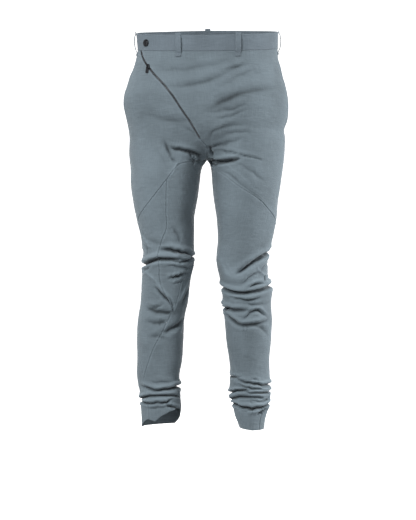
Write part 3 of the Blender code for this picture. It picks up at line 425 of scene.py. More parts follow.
BACK_FOLDS = table(
    "x0 d0 x1 d1 x2 d2 width depth lip",
    (-110, 92, -30, 100, 70, 84, 12, 1.2, 0.5),
    (-56, 248, -92, 276, -150, 292, 11, 2.3, 0.6),
    (66, 243, 100, 268, 142, 300, 12, 1.8, 0.5),
    (-40, 302, -72, 326, -112, 340, 10, 1.8, 0.5),
    (46, 310, 78, 338, 124, 347, 9, 2.2, 0.6),
    (-44, 472, -100, 489, -148, 470, 8, 3.2, 0.7),
    (-62, 500, -96, 512, -150, 502, 7, 5.0, 0.9),
    (-36, 519, -70, 531, -118, 525, 7, 4.4, 0.8),
    (-86, 549, -118, 545, -152, 533, 6, 3.4, 0.8),
    (-42, 552, -78, 573, -140, 567, 9, 4.4, 0.7),
    (-62, 606, -100, 599, -138, 585, 9, 2.0, 0.5),
    (40, 487, 92, 500, 138, 493, 8, 4.0, 0.8),
    (26, 516, 64, 523, 106, 517, 6, 4.4, 0.9),
    (86, 536, 112, 532, 140, 519, 7, 4.2, 0.8),
    (30, 548, 88, 563, 142, 556, 8, 5.0, 0.9),
    (60, 590, 100, 595, 146, 577, 8, 2.8, 0.7),
    (36, 619, 70, 627, 110, 616, 9, 1.8, 0.5),
    (-70, 787, -108, 796, -150, 786, 6, 2.6, 0.7),
    (-64, 811, -96, 820, -132, 815, 4.5, 4.0, 0.9),
    (-112, 828, -136, 827, -157, 817, 4.5, 3.4, 0.8),
    (-66, 838, -104, 843, -154, 835, 5, 4.6, 1.0),
    (-68, 863, -96, 858, -122, 862, 4.5, 3.0, 0.8),
    (-108, 870, -130, 865, -152, 855, 4.5, 2.4, 0.6),
    (60, 781, 96, 792, 142, 786, 6, 2.8, 0.7),
    (52, 808, 84, 813, 118, 807, 4.5, 4.0, 0.9),
    (96, 822, 120, 825, 144, 811, 4.5, 3.4, 0.8),
    (54, 831, 96, 842, 143, 835, 5, 4.6, 1.0),
    (60, 857, 84, 852, 114, 856, 4.5, 3.0, 0.8),
    (90, 870, 116, 865, 142, 852, 4.5, 2.8, 0.7),
)
print("main creases:", len(FRONT_FOLDS["width"]), "in front,", len(BACK_FOLDS["width"]), "behind")

# %% [markdown]
# A crease in real cloth is rarely alone: finer ones branch off it, cross it or lie beside it. They are
# a table of their own, so that the main forms can be read and set first. A negative depth is a ridge.

# %% Small creases that break up the main ones, mm
FRONT_CREASES = table(
    "x0 d0 x1 d1 x2 d2 width depth lip",
    (6, 262, 10, 275, 13, 287, 4, 2.6, 0.5),
    (-40, 272, -37, 279, -36, 286, 5, 1.6, 0.2),
    (-2, 296, 10, 299, 24, 304, 4, 2.6, 0.2),
    (-34, 288, -31, 298, -28, 310, 5, 1.1, 0.3),
    (-62, 288, -72, 304, -86, 326, 4, -0.8, 0),
    (-120, 262, -106, 282, -94, 308, 8, 0.7, 0.3),
    (40, 300, 66, 318, 92, 340, 4, -0.7, 0),
    (30, 88, 62, 76, 96, 70, 5, 1.1, 0.5),
    (18, 196, 52, 190, 92, 172, 5, 1.1, 0.4),
    (40, 232, 70, 226, 96, 228, 5, 0.9, 0.4),
    (-60, 214, -36, 226, -24, 240, 6, 0.8, 0.3),
    (60, 296, 96, 312, 130, 340, 7, 0.9, 0.3),
    (-152, 450, -141, 478, -129, 492, 3.5, -1.4, 0),
    (-157, 458, -147, 484, -136, 500, 3, 1.2, 0.3),
    (-80, 521, -56, 525, -34, 512, 4, 2.6, 0.9),
    (-150, 542, -124, 564, -102, 594, 5, -1.5, 0),
    (-86, 606, -81, 624, -78, 638, 3, 1.8, 0.5),
    (-134, 625, -118, 628, -104, 624, 4, 0.9, 0.4),
    (-100, 640, -88, 641, -78, 638, 3.5, 1.2, 0.4),
    (-78, 575, -66, 571, -56, 566, 4, 1.1, 0.4),
    (-139, 490, -139, 498, -139, 506, 3, 1.6, 0.4),
    (-95, 507, -66, 511, -42, 513, 3, 1.2, 0.5),
    (-152, 543, -140, 540, -128, 534, 3.5, 1.8, 0.6),
    (-33, 526, -43, 560, -64, 612, 4.5, -2.0, 0),
    (-43, 586, -49, 602, -58, 622, 5, 2.8, 0.4),
    (-137, 635, -122, 630, -107, 626, 6, 1.4, 0.5),
    (-132, 695, -115, 697, -98, 699, 7, 1.2, 0.4),
    (139, 506, 125, 514, 112, 527, 4, 2.4, 0.6),
    (46, 530, 62, 552, 84, 552, 5, -1.2, 0),
    (112, 534, 122, 548, 136, 556, 4, -1.2, 0),
    (118, 556, 126, 540, 138, 530, 3.5, 1.2, 0.5),
    (131, 557, 131, 564, 130, 571, 3, 2.2, 0.4),
    (75, 619, 109, 623, 139, 619, 5, 1.3, 0.4),
    (82, 672, 84, 681, 86, 690, 3, 0.9, 0.2),
    (88, 670, 91, 678, 92, 686, 3, 0.7, 0.2),
    (36, 628, 52, 651, 68, 662, 5, 2.0, 0.5),
    (-140, 826, -118, 824, -92, 824, 3.5, 1.2, 0.6),
    (-70, 822, -69, 828, -70, 834, 3, 2.2, 0.3),
    (-82, 806, -72, 808, -64, 802, 3, 2.2, 0.6),
    (-128, 800, -108, 803, -84, 800, 5, 0.9, 0.4),
    (-134, 863, -116, 860, -96, 858, 4, 1.2, 0.4),
    (-118, 842, -100, 838, -84, 836, 3, -1.0, 0),
    (84, 797, 106, 797, 128, 798, 3.5, 1.4, 0.5),
    (120, 811, 132, 813, 146, 812, 3, 1.8, 0.6),
    (118, 818, 132, 818, 146, 817, 2.5, 1.6, 0.6),
    (60, 808, 74, 812, 88, 820, 4, 1.2, 0.5),
    (64, 830, 84, 828, 106, 830, 3, 1.4, 0.5),
    (100, 842, 122, 846, 144, 838, 3.5, 1.6, 0.6),
    (66, 863, 86, 867, 102, 863, 4, 1.4, 0.4),
    (117, 873, 127, 868, 136, 863, 4, 5.0, 0.4),
    (99, 842, 100, 847, 100, 853, 2, 0.8, 0.2),
)
BACK_CREASES = table(
    "x0 d0 x1 d1 x2 d2 width depth lip",
    (-90, 130, -50, 142, -14, 136, 7, 1.2, 0.4),
    (20, 140, 60, 128, 110, 122, 7, 1.1, 0.4),
    (-26, 274, -44, 288, -58, 296, 7, 1.3, 0.4),
    (24, 280, 36, 290, 50, 294, 7, 1.1, 0.4),
    (-130, 376, -106, 388, -82, 390, 9, 0.9, 0.4),
    (122, 398, 98, 406, 74, 400, 9, 0.8, 0.4),
    (-120, 460, -92, 468, -60, 462, 6, 2.0, 0.5),
    (-70, 524, -100, 528, -124, 520, 4, 2.0, 0.5),
    (-60, 552, -84, 556, -116, 550, 4, 1.8, 0.5),
    (-60, 590, -90, 600, -120, 590, 6, 1.8, 0.5),
    (50, 484, 84, 478, 120, 484, 6, 2.0, 0.5),
    (56, 518, 84, 522, 112, 514, 4, 2.0, 0.5),
    (48, 546, 80, 550, 112, 546, 4, 1.8, 0.5),
    (60, 616, 92, 626, 124, 616, 6, 1.8, 0.5),
    (-84, 806, -110, 808, -138, 804, 3.5, 1.8, 0.5),
    (-80, 826, -108, 829, -140, 824, 3.5, 2.0, 0.5),
    (70, 802, 98, 806, 124, 800, 3.5, 1.8, 0.5),
    (66, 822, 96, 826, 126, 820, 3.5, 2.0, 0.5),
)
print("small creases:", len(FRONT_CREASES["width"]), "in front,", len(BACK_CREASES["width"]), "behind")

# %% [markdown]
# The crease tables are flat drawings. Each curve is laid on the cloth through the places that it is seen
# at. Where it reaches the outline of a leg it doesn't stop: it runs on round the leg, less steeply, so
# that the side and the back don't begin with a smooth wall.

# %% Creases as lines on the cloth
CREASE_STEPS = 9
WRAP_BELOW, WRAP_SLOPE, AT_OUTLINE = 400.0, 0.6, 0.3
WRAP_STEPS = 24.0 * np.array([0.33, 0.67, 1])


def run_round(x, drop, back):
    """Points along a crease, run on round the leg where it reaches the outline in front, if it is flat."""
    samples = [lookup(a, b, back) for a, b in zip(x, drop)]
    line = [sample[3:6] for sample in samples]
    for end, inner in ((0, 1), (-1, -2)):
        inward, fall = x[inner] - x[end], drop[end] - drop[inner]
        at_outline = not back and drop[end] > WRAP_BELOW and abs(samples[end][6]) < AT_OUTLINE
        if at_outline and abs(fall) < abs(inward):
            further = x[end] + np.sign(inward) * WRAP_STEPS
            lower = drop[end] + WRAP_SLOPE * WRAP_STEPS * fall / abs(inward)
            more = [lookup(a, b, True)[3:6] for a, b in zip(further, lower)]
            line = [*reversed(more), *line] if end == 0 else [*line, *more]
    return np.array(line)


def crease_lines(creases, back):
    """Each crease as points along it, where (1-t)(1-2t), 4t(1-t) and t(2t-1) weigh its three places."""
    t = np.linspace(0, 1, CREASE_STEPS)
    weights = ((1 - t) * (1 - 2 * t), 4 * t * (1 - t), t * (2 * t - 1))
    lines = []
    for i in range(len(creases["width"])):
        x, drop = (sum(w * creases[f"{axis}{k}"][i] for k, w in enumerate(weights)) for axis in "xd")
        line = run_round(x, drop, back)
        lines.append((line, *(creases[k][i] for k in ("width", "depth", "lip"))))
    return lines


def nearest_on(line, points, normals):
    """Signed distance across to a line, place along it from 0 to 1, and distance beyond its ends."""
    best = np.full(len(points), np.inf)
    across, along, beyond = (np.zeros(len(points)) for _ in range(3))
    for k in range(len(line) - 1):
        run = line[k + 1] - line[k]
        length = np.linalg.norm(run)
        if length < 1e-6:
            continue
        t = np.clip((points - line[k]) @ run / length**2, 0, 1)
        away = points - line[k] - t[:, None] * run
        distance = np.linalg.norm(away, axis=1)
        closer = distance < best
        side = unit(np.cross(normals, run / length))
        best = np.where(closer, distance, best)
        across = np.where(closer, (away * side).sum(axis=1), across)
        along = np.where(closer, (k + t) / (len(line) - 1), along)
        beyond = np.where(closer, abs(away @ run) / length, beyond)
    return across, along, beyond


TABLES = ((FRONT_FOLDS, False), (BACK_FOLDS, True), (FRONT_CREASES, False), (BACK_CREASES, True))
CREASE_LINES = [line for creases, back in TABLES for line in crease_lines(creases, back)]
longest = max(len(line) for line, *_ in CREASE_LINES)
print("crease lines:", len(CREASE_LINES), "points of one that runs on round a leg:", longest)

# %% [markdown]
# A pressed crease is sharp at its bottom and soft at its shoulders, and the cloth that it takes up
# stands beside it as a swell. One profile across the line gives this to all of them. A slow wander and
# a change of depth along each crease keep them from looking stamped.

# %% The height of the cloth over its rings
CREASE_GAIN, SWELL_LIMIT = 2.5, 4.5
CRISP, SOFT, SWELL = 0.74, 0.3, 0.62
WANDER, FINE_WANDER, DEPTH_CHANGE = 0.13, 0.05, 0.15
REACH_WIDTHS, THROUGH_REACH = 4.5, 120.0


def crease_profile(q, lip):
    """A crisp fold in a soft trough, a swell below it and half of one above. q is distance over width."""
    crisp = -CRISP * np.exp(1 - np.sqrt(1 + (3.4 * q) ** 2))
    soft = -SOFT * bell(q, 1.2)
    swell = bell(q - 1.5, 1.0) + 0.5 * bell(q + 1.6, 1.1)
    return crisp + soft + SWELL * lip * swell


def crease_height(points, normals, lines):
    """The sum of all creases: two sines shift each one's line and a third its depth, along its length."""
    height = np.zeros(len(points))
    for number, (line, width, depth, lip) in enumerate(lines):
        reach = REACH_WIDTHS * width
        inside = ((points > line.min(axis=0) - reach) & (points < line.max(axis=0) + reach)).all(axis=1)
        index = np.nonzero(inside)[0]
        if not len(index):
            continue
        across, along, beyond = nearest_on(line, points[index], normals[index])
        phase = 2.4 * number
        wander = WANDER * np.sin(6.0 * along + phase) + FINE_WANDER * np.sin(17.0 * along + 2 * phase)
        vary = 1 + DEPTH_CHANGE * np.sin(8.0 * along + 1.7 * phase)
        same_side = np.exp(-((abs(points[index, 1] - line[len(line) // 2, 1]) / THROUGH_REACH) ** 4))
        ends = np.sin(math.pi * (0.08 + 0.84 * along)) ** 0.8 * bell(beyond, width)
        shape = crease_profile(across / width + wander, lip)
        height[index] += CREASE_GAIN * depth * shape * vary * ends * same_side
    return np.where(height > 0, SWELL_LIMIT * np.tanh(height / SWELL_LIMIT), height)


def undulation(points, seed=5, waves=36, shortest=22.0, longest=90.0, height=0.33):
    """A sum of plane waves with seeded directions, lengths and phases: the slackness of worn cloth."""
    dice = np.random.default_rng(seed)
    ways = unit(dice.normal(size=(waves, 3)) * (1.0, 1.0, 1.6))
    lengths = dice.uniform(shortest, longest, waves)
    phases = dice.uniform(0, 2 * math.pi, waves)
    turns = points @ (ways * (2 * math.pi / lengths)[:, None]).T + phases
    return height * (np.sin(turns) * (lengths / longest)).sum(axis=1) / math.sqrt(waves / 2)


print("a crease's profile from -2 to 2 widths:", crease_profile(np.linspace(-2, 2, 5), 1.0).round(2))

# %% [markdown]
# The creases are worked out once, on fine rings that are closest where the cloth is gathered, at the
# knees and the ankles. Points, normals and crease heights are kept together, so every piece that is
# sewn later, down to a stitch, lies on exactly the same cloth.

# %% The fine surface
FINE_COLUMNS = 320
FINE_SPANS = ((-16, 450, 2.0), (450, 700, 1.25), (700, 780, 2.0), (780, 941, 1.0))
FINE_DROPS = np.concatenate([np.arange(*span) for span in FINE_SPANS])
SLACK_FROM, SLACK_OVER = 40, 40


def normals_of(rings):
    """Cross product of the steps to the neighbours below and beside, on every grid point."""
    half, row, column = np.indices(rings.values.shape[:3])
    across = rings.at(half, row, column + 1) - rings.at(half, row, column - 1)
    down = rings.at(half, row + 1, column) - rings.at(half, row - 1, column)
    return unit(np.cross(down, across)) * SIDE_SIGN[half][..., None]


def ironed(points, drop, u, rounds=90, reach_drop=26.0, reach_u=0.09):
    """Draws each ring near the crotch towards its neighbours above and below, away from the fork."""
    away = 1 - bell(from_fork(u), reach_u)
    pull = (0.5 * bell(drop - CROTCH, reach_drop) * away)[1:-1, :, None]
    for _ in range(rounds):
        points[:, 1:-1] += pull * ((points[:, :-2] + points[:, 2:]) / 2 - points[:, 1:-1])
    return points


def fine_surface():
    """Points, normals and relief of the creased cloth on fine rings: seven values at each place."""
    drop, u = np.meshgrid(FINE_DROPS, np.linspace(0, 1, FINE_COLUMNS + 1), indexing="ij")
    points = ironed(np.array([base_point(half, u, drop) for half in (LEFT, RIGHT)]), drop, u)
    normals = normals_of(Rings(points, FINE_DROPS))
    flat_points, flat_normals = points.reshape(-1, 3), normals.reshape(-1, 3)
    creases = crease_height(flat_points, flat_normals, CREASE_LINES)
    height = creases + undulation(flat_points) * ease((-flat_points[:, 2] - SLACK_FROM) / SLACK_OVER)
    moved = points + (height[:, None] * flat_normals).reshape(points.shape)
    relief = creases.reshape(*points.shape[:3], 1)
    return Rings(np.concatenate([moved, normals_of(Rings(moved, FINE_DROPS)), relief], axis=-1), FINE_DROPS)


fine_cloth = fine_surface()


def cloth(half, u, drop):
    """(point, unit normal, relief) of the creased cloth, in mm."""
    found = fine_cloth(half, np.asarray(u, float), np.asarray(drop, float))
    return found[..., :3], unit(found[..., 3:6]), found[..., 6]


print("fine rings:", fine_cloth.values.shape)
print("deepest crease, mm:", fine_cloth.values[..., 6].min().round(1))

# %% [markdown]
# ## Finishes
# Shader maths reads best as plain expressions. One small class wraps a socket, and the operators that
# are used here add Math nodes. Any other node comes from one method that takes its settings and inputs.

# %% A socket that can be added and multiplied


class Tree:
    """Builds one material's nodes."""

    def __init__(self, name):
        self.material = bpy.data.materials.new(name)
        self.material.use_nodes = True
        self.nodes = self.material.node_tree.nodes
        self.links = self.material.node_tree.links
        self.shader = self.nodes["Principled BSDF"]

    def node(self, kind, settings=None, inputs=None, output=0):
        """A node of this kind with its settings, then its inputs. Returns one of its outputs, wrapped."""
        made = self.nodes.new(kind)
        for key, value in (settings or {}).items():
            setattr(made, key, value)
        for key, value in (inputs or {}).items():
            self.feed(made.inputs[key], value)
        return Value(self, made.outputs[output])

    def feed(self, socket, value):
        """Links a wrapped socket, or sets a plain value."""
        if isinstance(value, Value):
            self.links.new(value.socket, socket)
        else:
            socket.default_value = value

    def math(self, operation, *values):
        """One Math node."""
        return self.node("ShaderNodeMath", {"operation": operation}, dict(enumerate(values)))

    def mix(self, factor, first, second):
        """A colour: the first where the factor is 0, the second where it is 1."""
        inputs = {0: factor, 6: (*first, 1.0), 7: (*second, 1.0)}
        return self.node("ShaderNodeMix", {"data_type": "RGBA"}, inputs, output=2)

    def set(self, **values):
        """Sets the shader's sockets: Base_Color=..., and so on."""
        for key, value in values.items():
            self.feed(self.shader.inputs[key.replace("_", " ")], value)
        return self.material


class Value:
    """A socket with the operators of a number."""

    def __init__(self, tree, socket):
        self.tree, self.socket = tree, socket

    def __add__(self, other):
        return self.tree.math("ADD", self, other)

    def __sub__(self, other):
        return self.tree.math("SUBTRACT", self, other)

    def __rsub__(self, other):
        return self.tree.math("SUBTRACT", other, self)

    def __mul__(self, other):
        return self.tree.math("MULTIPLY", self, other)

    __radd__ = __add__
    __rmul__ = __mul__


def own_place(tree):
    """Object coordinates, which stay with the piece."""
    return tree.node("ShaderNodeTexCoord", output=3)


def noise(tree, place, scale, detail=2.0, roughness=0.5):
    """Cloudy values about 0.5, stretched where the scale has three numbers."""
    if isinstance(scale, tuple):
        place = tree.node("ShaderNodeMapping", {}, {"Vector": place, "Scale": scale})
        scale = 1.0
    inputs = {"Vector": place, "Scale": scale, "Detail": detail, "Roughness": roughness}
    return tree.node("ShaderNodeTexNoise", {}, inputs)


def bump(tree, height, strength, distance, **normal):
    """A normal tilted by the slope of a height, over another normal if one is given."""
    inputs = {"Height": height, "Strength": strength, "Distance": distance, **normal}
    return tree.node("ShaderNodeBump", {}, inputs)


print("sockets can be added, subtracted and multiplied")

# %% [markdown]
# ### The cloth
# The real cloth is a slubby cotton and linen weave, dyed blue-grey and softly washed: thicker yarns show
# as short streaks along both threads. Creases are painted darker as shade, and swells paler as a painted
# highlight. The weave follows the piece's own UV map, which is in metres, so its threads keep their real
# pitch. The attribute `relief` carries this painted shade and highlight, worked out from the crease
# depth, from the mesh into the colour.

# %% Weave
YARN_PITCH = 0.00078
SLUB_LENGTH, SLUB_WIDTH = 0.034, 0.0009
WEAVE_HEIGHT = 0.00022
CRUSH_SCALE, CRUSH_HEIGHT = (55.0, 55.0, 110.0), 0.003
CLOUD_SCALE = 11.0
SLUB_TONE, CLOUD_TONE = 0.8, 0.5
DARKEST, PALEST = 0.35, 1.65
CLOTH_COLOUR = (0.112, 0.142, 0.162)
BAND_COLOUR = (0.104, 0.130, 0.152)


def weave(tree):
    """(height, slub): sin(s) sin(t) for threads that go over and under, and two stretched noises."""
    place = tree.node("ShaderNodeUVMap", {"uv_map": "Cloth"})
    across, down = (tree.node("ShaderNodeSeparateXYZ", {}, {"Vector": place}, output=k) for k in (0, 1))
    turn = math.pi / YARN_PITCH
    threads = tree.math("SINE", across * turn) * tree.math("SINE", down * turn)
    long, short = 1 / SLUB_LENGTH, 1 / SLUB_WIDTH
    streaks = [noise(tree, place, scale, 2.0, 0.6) for scale in ((long, short, 1), (short, long, 1))]
    slub = (streaks[0] + streaks[1]) * 0.5
    return threads * 0.5 + slub, slub


def cloth_material(name, colour, relief=True):
    """A woven finish of this colour: mottled by slubs and a broad cloudiness, with painted shade in creases
    and a painted highlight on swells.
    """
    tree = Tree(name)
    height, slub = weave(tree)
    spot = own_place(tree)
    crinkle = noise(tree, spot, CRUSH_SCALE, 4.0)
    rumpled = bump(tree, crinkle, 0.6, CRUSH_HEIGHT)
    cloud = noise(tree, spot, CLOUD_SCALE, 4.0)
    tone = 0.5 + (slub - 0.5) * SLUB_TONE + (cloud - 0.5) * CLOUD_TONE
    if relief:
        # Painted shade in the creases and a painted highlight on swells and seam shoulders, read from the
        # mesh.
        tone = tone + tree.node("ShaderNodeAttribute", {"attribute_name": "relief"}, output=2)
    tone = tree.math("MINIMUM", tree.math("MAXIMUM", tone, 0.0), 1.0)
    dark, pale = ([c * share for c in colour] for share in (DARKEST, PALEST))
    return tree.set(
        Base_Color=tree.mix(tone, dark, pale),
        Roughness=0.82 + (slub - 0.5) * 0.2,
        Normal=bump(tree, height, 0.55, WEAVE_HEIGHT, Normal=rumpled),
        Specular_IOR_Level=0.22,
        Sheen_Weight=0.2,
        Sheen_Roughness=0.42,
        Sheen_Tint=(0.80, 0.88, 0.94, 1.0),
    )


FINISH = {
    "cloth": cloth_material("washed_weave", CLOTH_COLOUR),
    "band": cloth_material("band_weave", BAND_COLOUR, relief=False),
}
print("finishes:", sorted(FINISH))

# %% [markdown]
# ### Thread, zip tape and dark metal
# The thread matches the cloth but is smoother, so it shows by its gloss. The tape is a near-black woven
# ribbon. Zip, slider and stud are blackened brass: satin, a little worn and paler where fingers rub.

# %% Thread, tape and metal
TWIST_SCALE, PATINA_SCALE, SCRATCH_SCALE = 900.0, 420.0, 2600.0
TAPE_HEIGHT, SCRATCH_HEIGHT = 0.0003, 0.00005


def thread_material():
    """Plain matched thread with a fine twist along it."""
    tree = Tree("matched_thread")
    twist = noise(tree, own_place(tree), TWIST_SCALE)
    return tree.set(Base_Color=tree.mix(twist, (0.09, 0.115, 0.135), (0.155, 0.19, 0.215)), Roughness=0.6)


def tape_material():
    """The cloth's weave in near black, standing out more."""
    tree = Tree("zip_tape")
    height, slub = weave(tree)
    colour = tree.mix(slub, (0.024, 0.029, 0.034), (0.060, 0.072, 0.082))
    return tree.set(Base_Color=colour, Roughness=0.88, Normal=bump(tree, height, 0.6, TAPE_HEIGHT))


def metal_material(name, dark, pale, roughness):
    """Blackened brass: a cloudy patina and fine scratches that polish it here and there."""
    tree = Tree(name)
    spot = own_place(tree)
    patina = noise(tree, spot, PATINA_SCALE, 4.0)
    scratch = noise(tree, spot, SCRATCH_SCALE)
    return tree.set(
        Base_Color=tree.mix(patina, dark, pale),
        Roughness=roughness + (scratch - 0.5) * 0.3,
        Metallic=1.0,
        Normal=bump(tree, scratch, 0.25, SCRATCH_HEIGHT),
    )


FINISH["thread"] = thread_material()
FINISH["tape"] = tape_material()
FINISH["metal"] = metal_material("blackened_brass", (0.010, 0.011, 0.013), (0.03, 0.031, 0.034), 0.45)
FINISH["teeth"] = metal_material("zip_teeth_metal", (0.035, 0.038, 0.042), (0.12, 0.126, 0.134), 0.5)
print("finishes:", sorted(FINISH))


# %% [markdown]
# ## From arrays to meshes
# All pieces are arrays until the last step. A shell is two grids of points, an outer and an inner face,
# closed by a rim. The winding of its faces decides which way they point, so it is set once, here.

# %% Mesh makers
TRIANGLES = {}


def make_object(name, points, faces, finish, uv=None, relief=None, sharp=60):
    """A mesh object from points in mm and quads or triangles (a last index of -1 marks a triangle)."""
    mesh = bpy.data.meshes.new(name)
    corners = faces[faces >= 0]
    counts = np.where(faces[:, 3] < 0, 3, 4)
    starts = np.concatenate([[0], np.cumsum(counts)[:-1]])
    mesh.vertices.add(len(points))
    mesh.vertices.foreach_set("co", (points * MM).astype(np.float32).ravel())
    mesh.loops.add(len(corners))
    mesh.loops.foreach_set("vertex_index", corners.astype(np.int32))
    mesh.polygons.add(len(faces))
    mesh.polygons.foreach_set("loop_start", starts.astype(np.int32))
    if uv is not None:
        layer = mesh.uv_layers.new(name="Cloth")
        layer.data.foreach_set("uv", (uv[corners] * MM).astype(np.float32).ravel())
    if relief is not None:
        attribute = mesh.attributes.new("relief", "FLOAT", "POINT")
        attribute.data.foreach_set("value", relief.astype(np.float32))
    mesh.update(calc_edges=True)
    mesh.validate()
    mesh.shade_smooth()
    mesh.set_sharp_from_angle(angle=math.radians(sharp))
    mesh.materials.append(FINISH[finish])
    made = bpy.data.objects.new(name, mesh)
    scene.collection.objects.link(made)
    TRIANGLES[name] = int((counts - 2).sum())
    return made


def grid_faces(rows, columns):
    """Quads of a grid whose rows run down and columns run to +u."""
    r, c = np.meshgrid(np.arange(rows - 1), np.arange(columns - 1), indexing="ij")
    first = (r * columns + c).ravel()
    return np.stack([first, first + 1, first + columns + 1, first + columns], axis=1)


def shell(name, outer, inner, finish, flip, uv, relief=None):
    """A closed wall between two grids: the outer face, the inner one turned round, and a rim."""
    rows, columns = outer.shape[:2]
    count = rows * columns
    ids = np.arange(count).reshape(rows, columns)
    rim = np.concatenate([ids[0, :-1], ids[:-1, -1], ids[-1, :0:-1], ids[:0:-1, 0]])
    after = np.roll(rim, -1)
    rim_quads = np.stack([after, rim, rim + count, after + count], axis=1)
    face = grid_faces(rows, columns)
    faces = np.concatenate([face, face[:, ::-1] + count, rim_quads])
    if flip:
        faces = faces[:, ::-1]
    points = np.concatenate([outer.reshape(-1, 3), inner.reshape(-1, 3)])
    relief = None if relief is None else np.tile(relief.ravel(), 2)
    return make_object(name, points, faces, finish, np.tile(uv.reshape(-1, 2), (2, 1)), relief)


print("faces of a shell of 3 by 4 points:", 2 * len(grid_faces(3, 4)) + 2 * (2 + 3))

# %% [markdown]
# ## What a piece carries
# Each piece rides on a body of the frame, stands for a node and is given its finish. A cloth piece's UV
# map is its flat cut: across it is the length round the leg, down it is the drop, so the grain of the
# weave runs down the leg as on the real trousers.

# %% The cut and the dress of a piece
PATH_STEPS = 25


def row_lengths(grid):
    """Running length along each row of a grid, from its first point."""
    steps = np.linalg.norm(np.diff(grid, axis=1), axis=-1)
    return np.concatenate([np.zeros((len(grid), 1)), np.cumsum(steps, axis=1)], axis=1)


def cloth_uv(half, u, drop, outer):
    """Across: the length round the ring from the side seam, which is at u = 0.5. Down: the drop."""
    run = row_lengths(outer)
    middle = run.shape[1] // 2
    middle_u, middle_drop = u[:, middle, None], drop[:, middle, None]
    steps = np.linspace(0, 1, PATH_STEPS)
    path = base_point(half, 0.5 + (middle_u - 0.5) * steps, middle_drop + 0 * steps)
    to_middle = row_lengths(path)[:, -1:] * np.sign(middle_u - 0.5)
    return np.stack([to_middle + run - run[:, middle, None], -drop], axis=-1)


def dress(piece, node, body="pants"):
    """The piece rides on a body and hides the node of the frame that it stands for, if any."""
    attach(piece, body)
    if node:
        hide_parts(node)


def declare_sheet(outer):
    """Works out the two diagonals of each cell of the outer grid, and keeps nothing."""
    a, b = outer[:-1, 1:] - outer[1:, :-1], outer[1:, 1:] - outer[:-1, :-1]


def sew(node, kind, outer, inner, uv, slot, flip, relief=None):
    """A cloth piece in the place of its node: its shell and its finish."""
    piece = shell(f"{node}_{kind}", outer, inner, slot, flip, uv, relief)
    dress(piece, node)
    declare_sheet(outer)


thigh = base_point(RIGHT, np.linspace(0, 1, 101)[None], np.full((1, 101), 400.0))
print("girth of the right thigh, mm:", round(float(row_lengths(thigh)[0, -1])))


# %% [markdown]
# ## Seam lines
# The real trousers have a zip that slants from the waist to the crotch, and seams that wind round the
# legs. Each seam is read off the front view and becomes `u` as a smooth function of the drop.

# %% Seams
BAND_END, ZIP_END, STAR, CUFF_START, HEM = 38.0, 245.0, 268.0, 842.0, 908.0
SLANT_END, SEAM_B_START, SEAM_B_END, SEAM_C_START, SEAM_C_END = 440.0, 336.0, 634.0, 524.0, 787.0
POCKET_END, POCKET_BAG_END = 216.0, 224.0
ZIP_LINE = table(
    "x drop",
    (-154, 38),
    (-147, 62),
    (-136, 76),
    (-121, 92),
    (-98, 117),
    (-77, 143),
    (-63, 170),
    (-40, 202),
    (-21, 235),
    (-6, 260),
    (0, 265),
)
SEAM_A_LEFT = table(
    "x drop", (-2, 289), (-30, 290), (-60, 295), (-77, 311), (-95, 336), (-128, 377), (-151, 409)
)
SEAM_B = table(
    "x drop", (-95, 336), (-93, 437), (-109, 485), (-113, 508), (-112, 524), (-109, 566), (-98, 596)
)
SEAM_C = table(
    "x drop", (-31, 524), (-43, 541), (-61, 575), (-70, 612), (-79, 637), (-102, 681), (-128, 734)
)
SEAM_A_RIGHT = table(
    "x drop", (4, 300), (13, 306), (33, 320), (63, 343), (102, 368), (121, 382), (144, 409)
)
OUTSEAM_LEFT = table("drop u", (0, 0.5), (700, 0.5), (754, 0.40), (791, 0.36), (930, 0.34))
OUTSEAM_RIGHT = table("drop u", (0, 0.5), (770, 0.5), (830, 0.42), (870, 0.36), (930, 0.34))
INSEAM_RIGHT = table("drop u", (0, 0.0), (630, 0.0), (715, 0.05), (738, 0.09), (782, 0.13), (930, 0.14))
POCKET_MOUTH = table("drop u", (38, 0.42), (100, 0.43), (160, 0.44), (198, 0.46), (216, 0.499))
LEFT_HEM = table(
    "u drop",
    (0, 868),
    (0.04, 862),
    (0.10, 860),
    (0.17, 866),
    (0.25, 878),
    (0.29, 889),
    (0.36, 884),
    (0.50, 904),
    (0.75, 900),
    (0.89, 897),
    (0.97, 882),
    (1.0, 868),
)
RIGHT_HEM = table("u drop", (0, 904), (0.25, 910), (0.5, 908), (0.75, 903), (1.0, 904))
print("the zip's length down the front, mm:", ZIP_END - BAND_END)

# %% [markdown]
# A seam has to be smooth, or its stitches would stagger. The places where it is seen are joined by a
# monotone cubic and then averaged over a few millimetres. A panel's edge is a plain function of the
# drop, so one edge can be put together from the stretches of several seams.

# %% Seams as functions of the drop
SIDE_END_U = 0.4965
SEAM_B_END_U, SEAM_C_END_U = 0.179, 0.356


def seam_u(line, end=None):
    """u as a monotone cubic of the drop, through the places where the seam is seen."""
    found = np.array([lookup(x, d) for x, d in zip(line["x"], line["drop"])])
    order = np.argsort(found[:, 2], kind="stable")
    signed = np.where(found[:, 0] == (RIGHT if line["x"].mean() > 0 else LEFT), 1, -1) * found[:, 1]
    drops, places = found[order, 2], signed[order]
    if end:
        drops, places = np.append(drops, end[0]), np.append(places, end[1])
    kept = np.concatenate([[True], np.diff(drops) > 1.0])
    return lambda drop: smooth(drop, drops[kept], places[kept])


def softened(curve, top, bottom, window=17):
    """The curve's running mean over `window` mm each way, mirrored through both ends so that they stay."""
    drops = np.arange(top, bottom + 0.5, 1.0)
    values = curve(drops)
    before = 2 * values[0] - values[window:0:-1]
    after = 2 * values[-1] - values[-2 : -window - 2 : -1]
    weights = np.hanning(2 * window + 3)[1:-1]
    mean = np.convolve(np.concatenate([before, values, after]), weights / weights.sum(), "valid")
    return lambda drop: np.interp(drop, drops, mean)


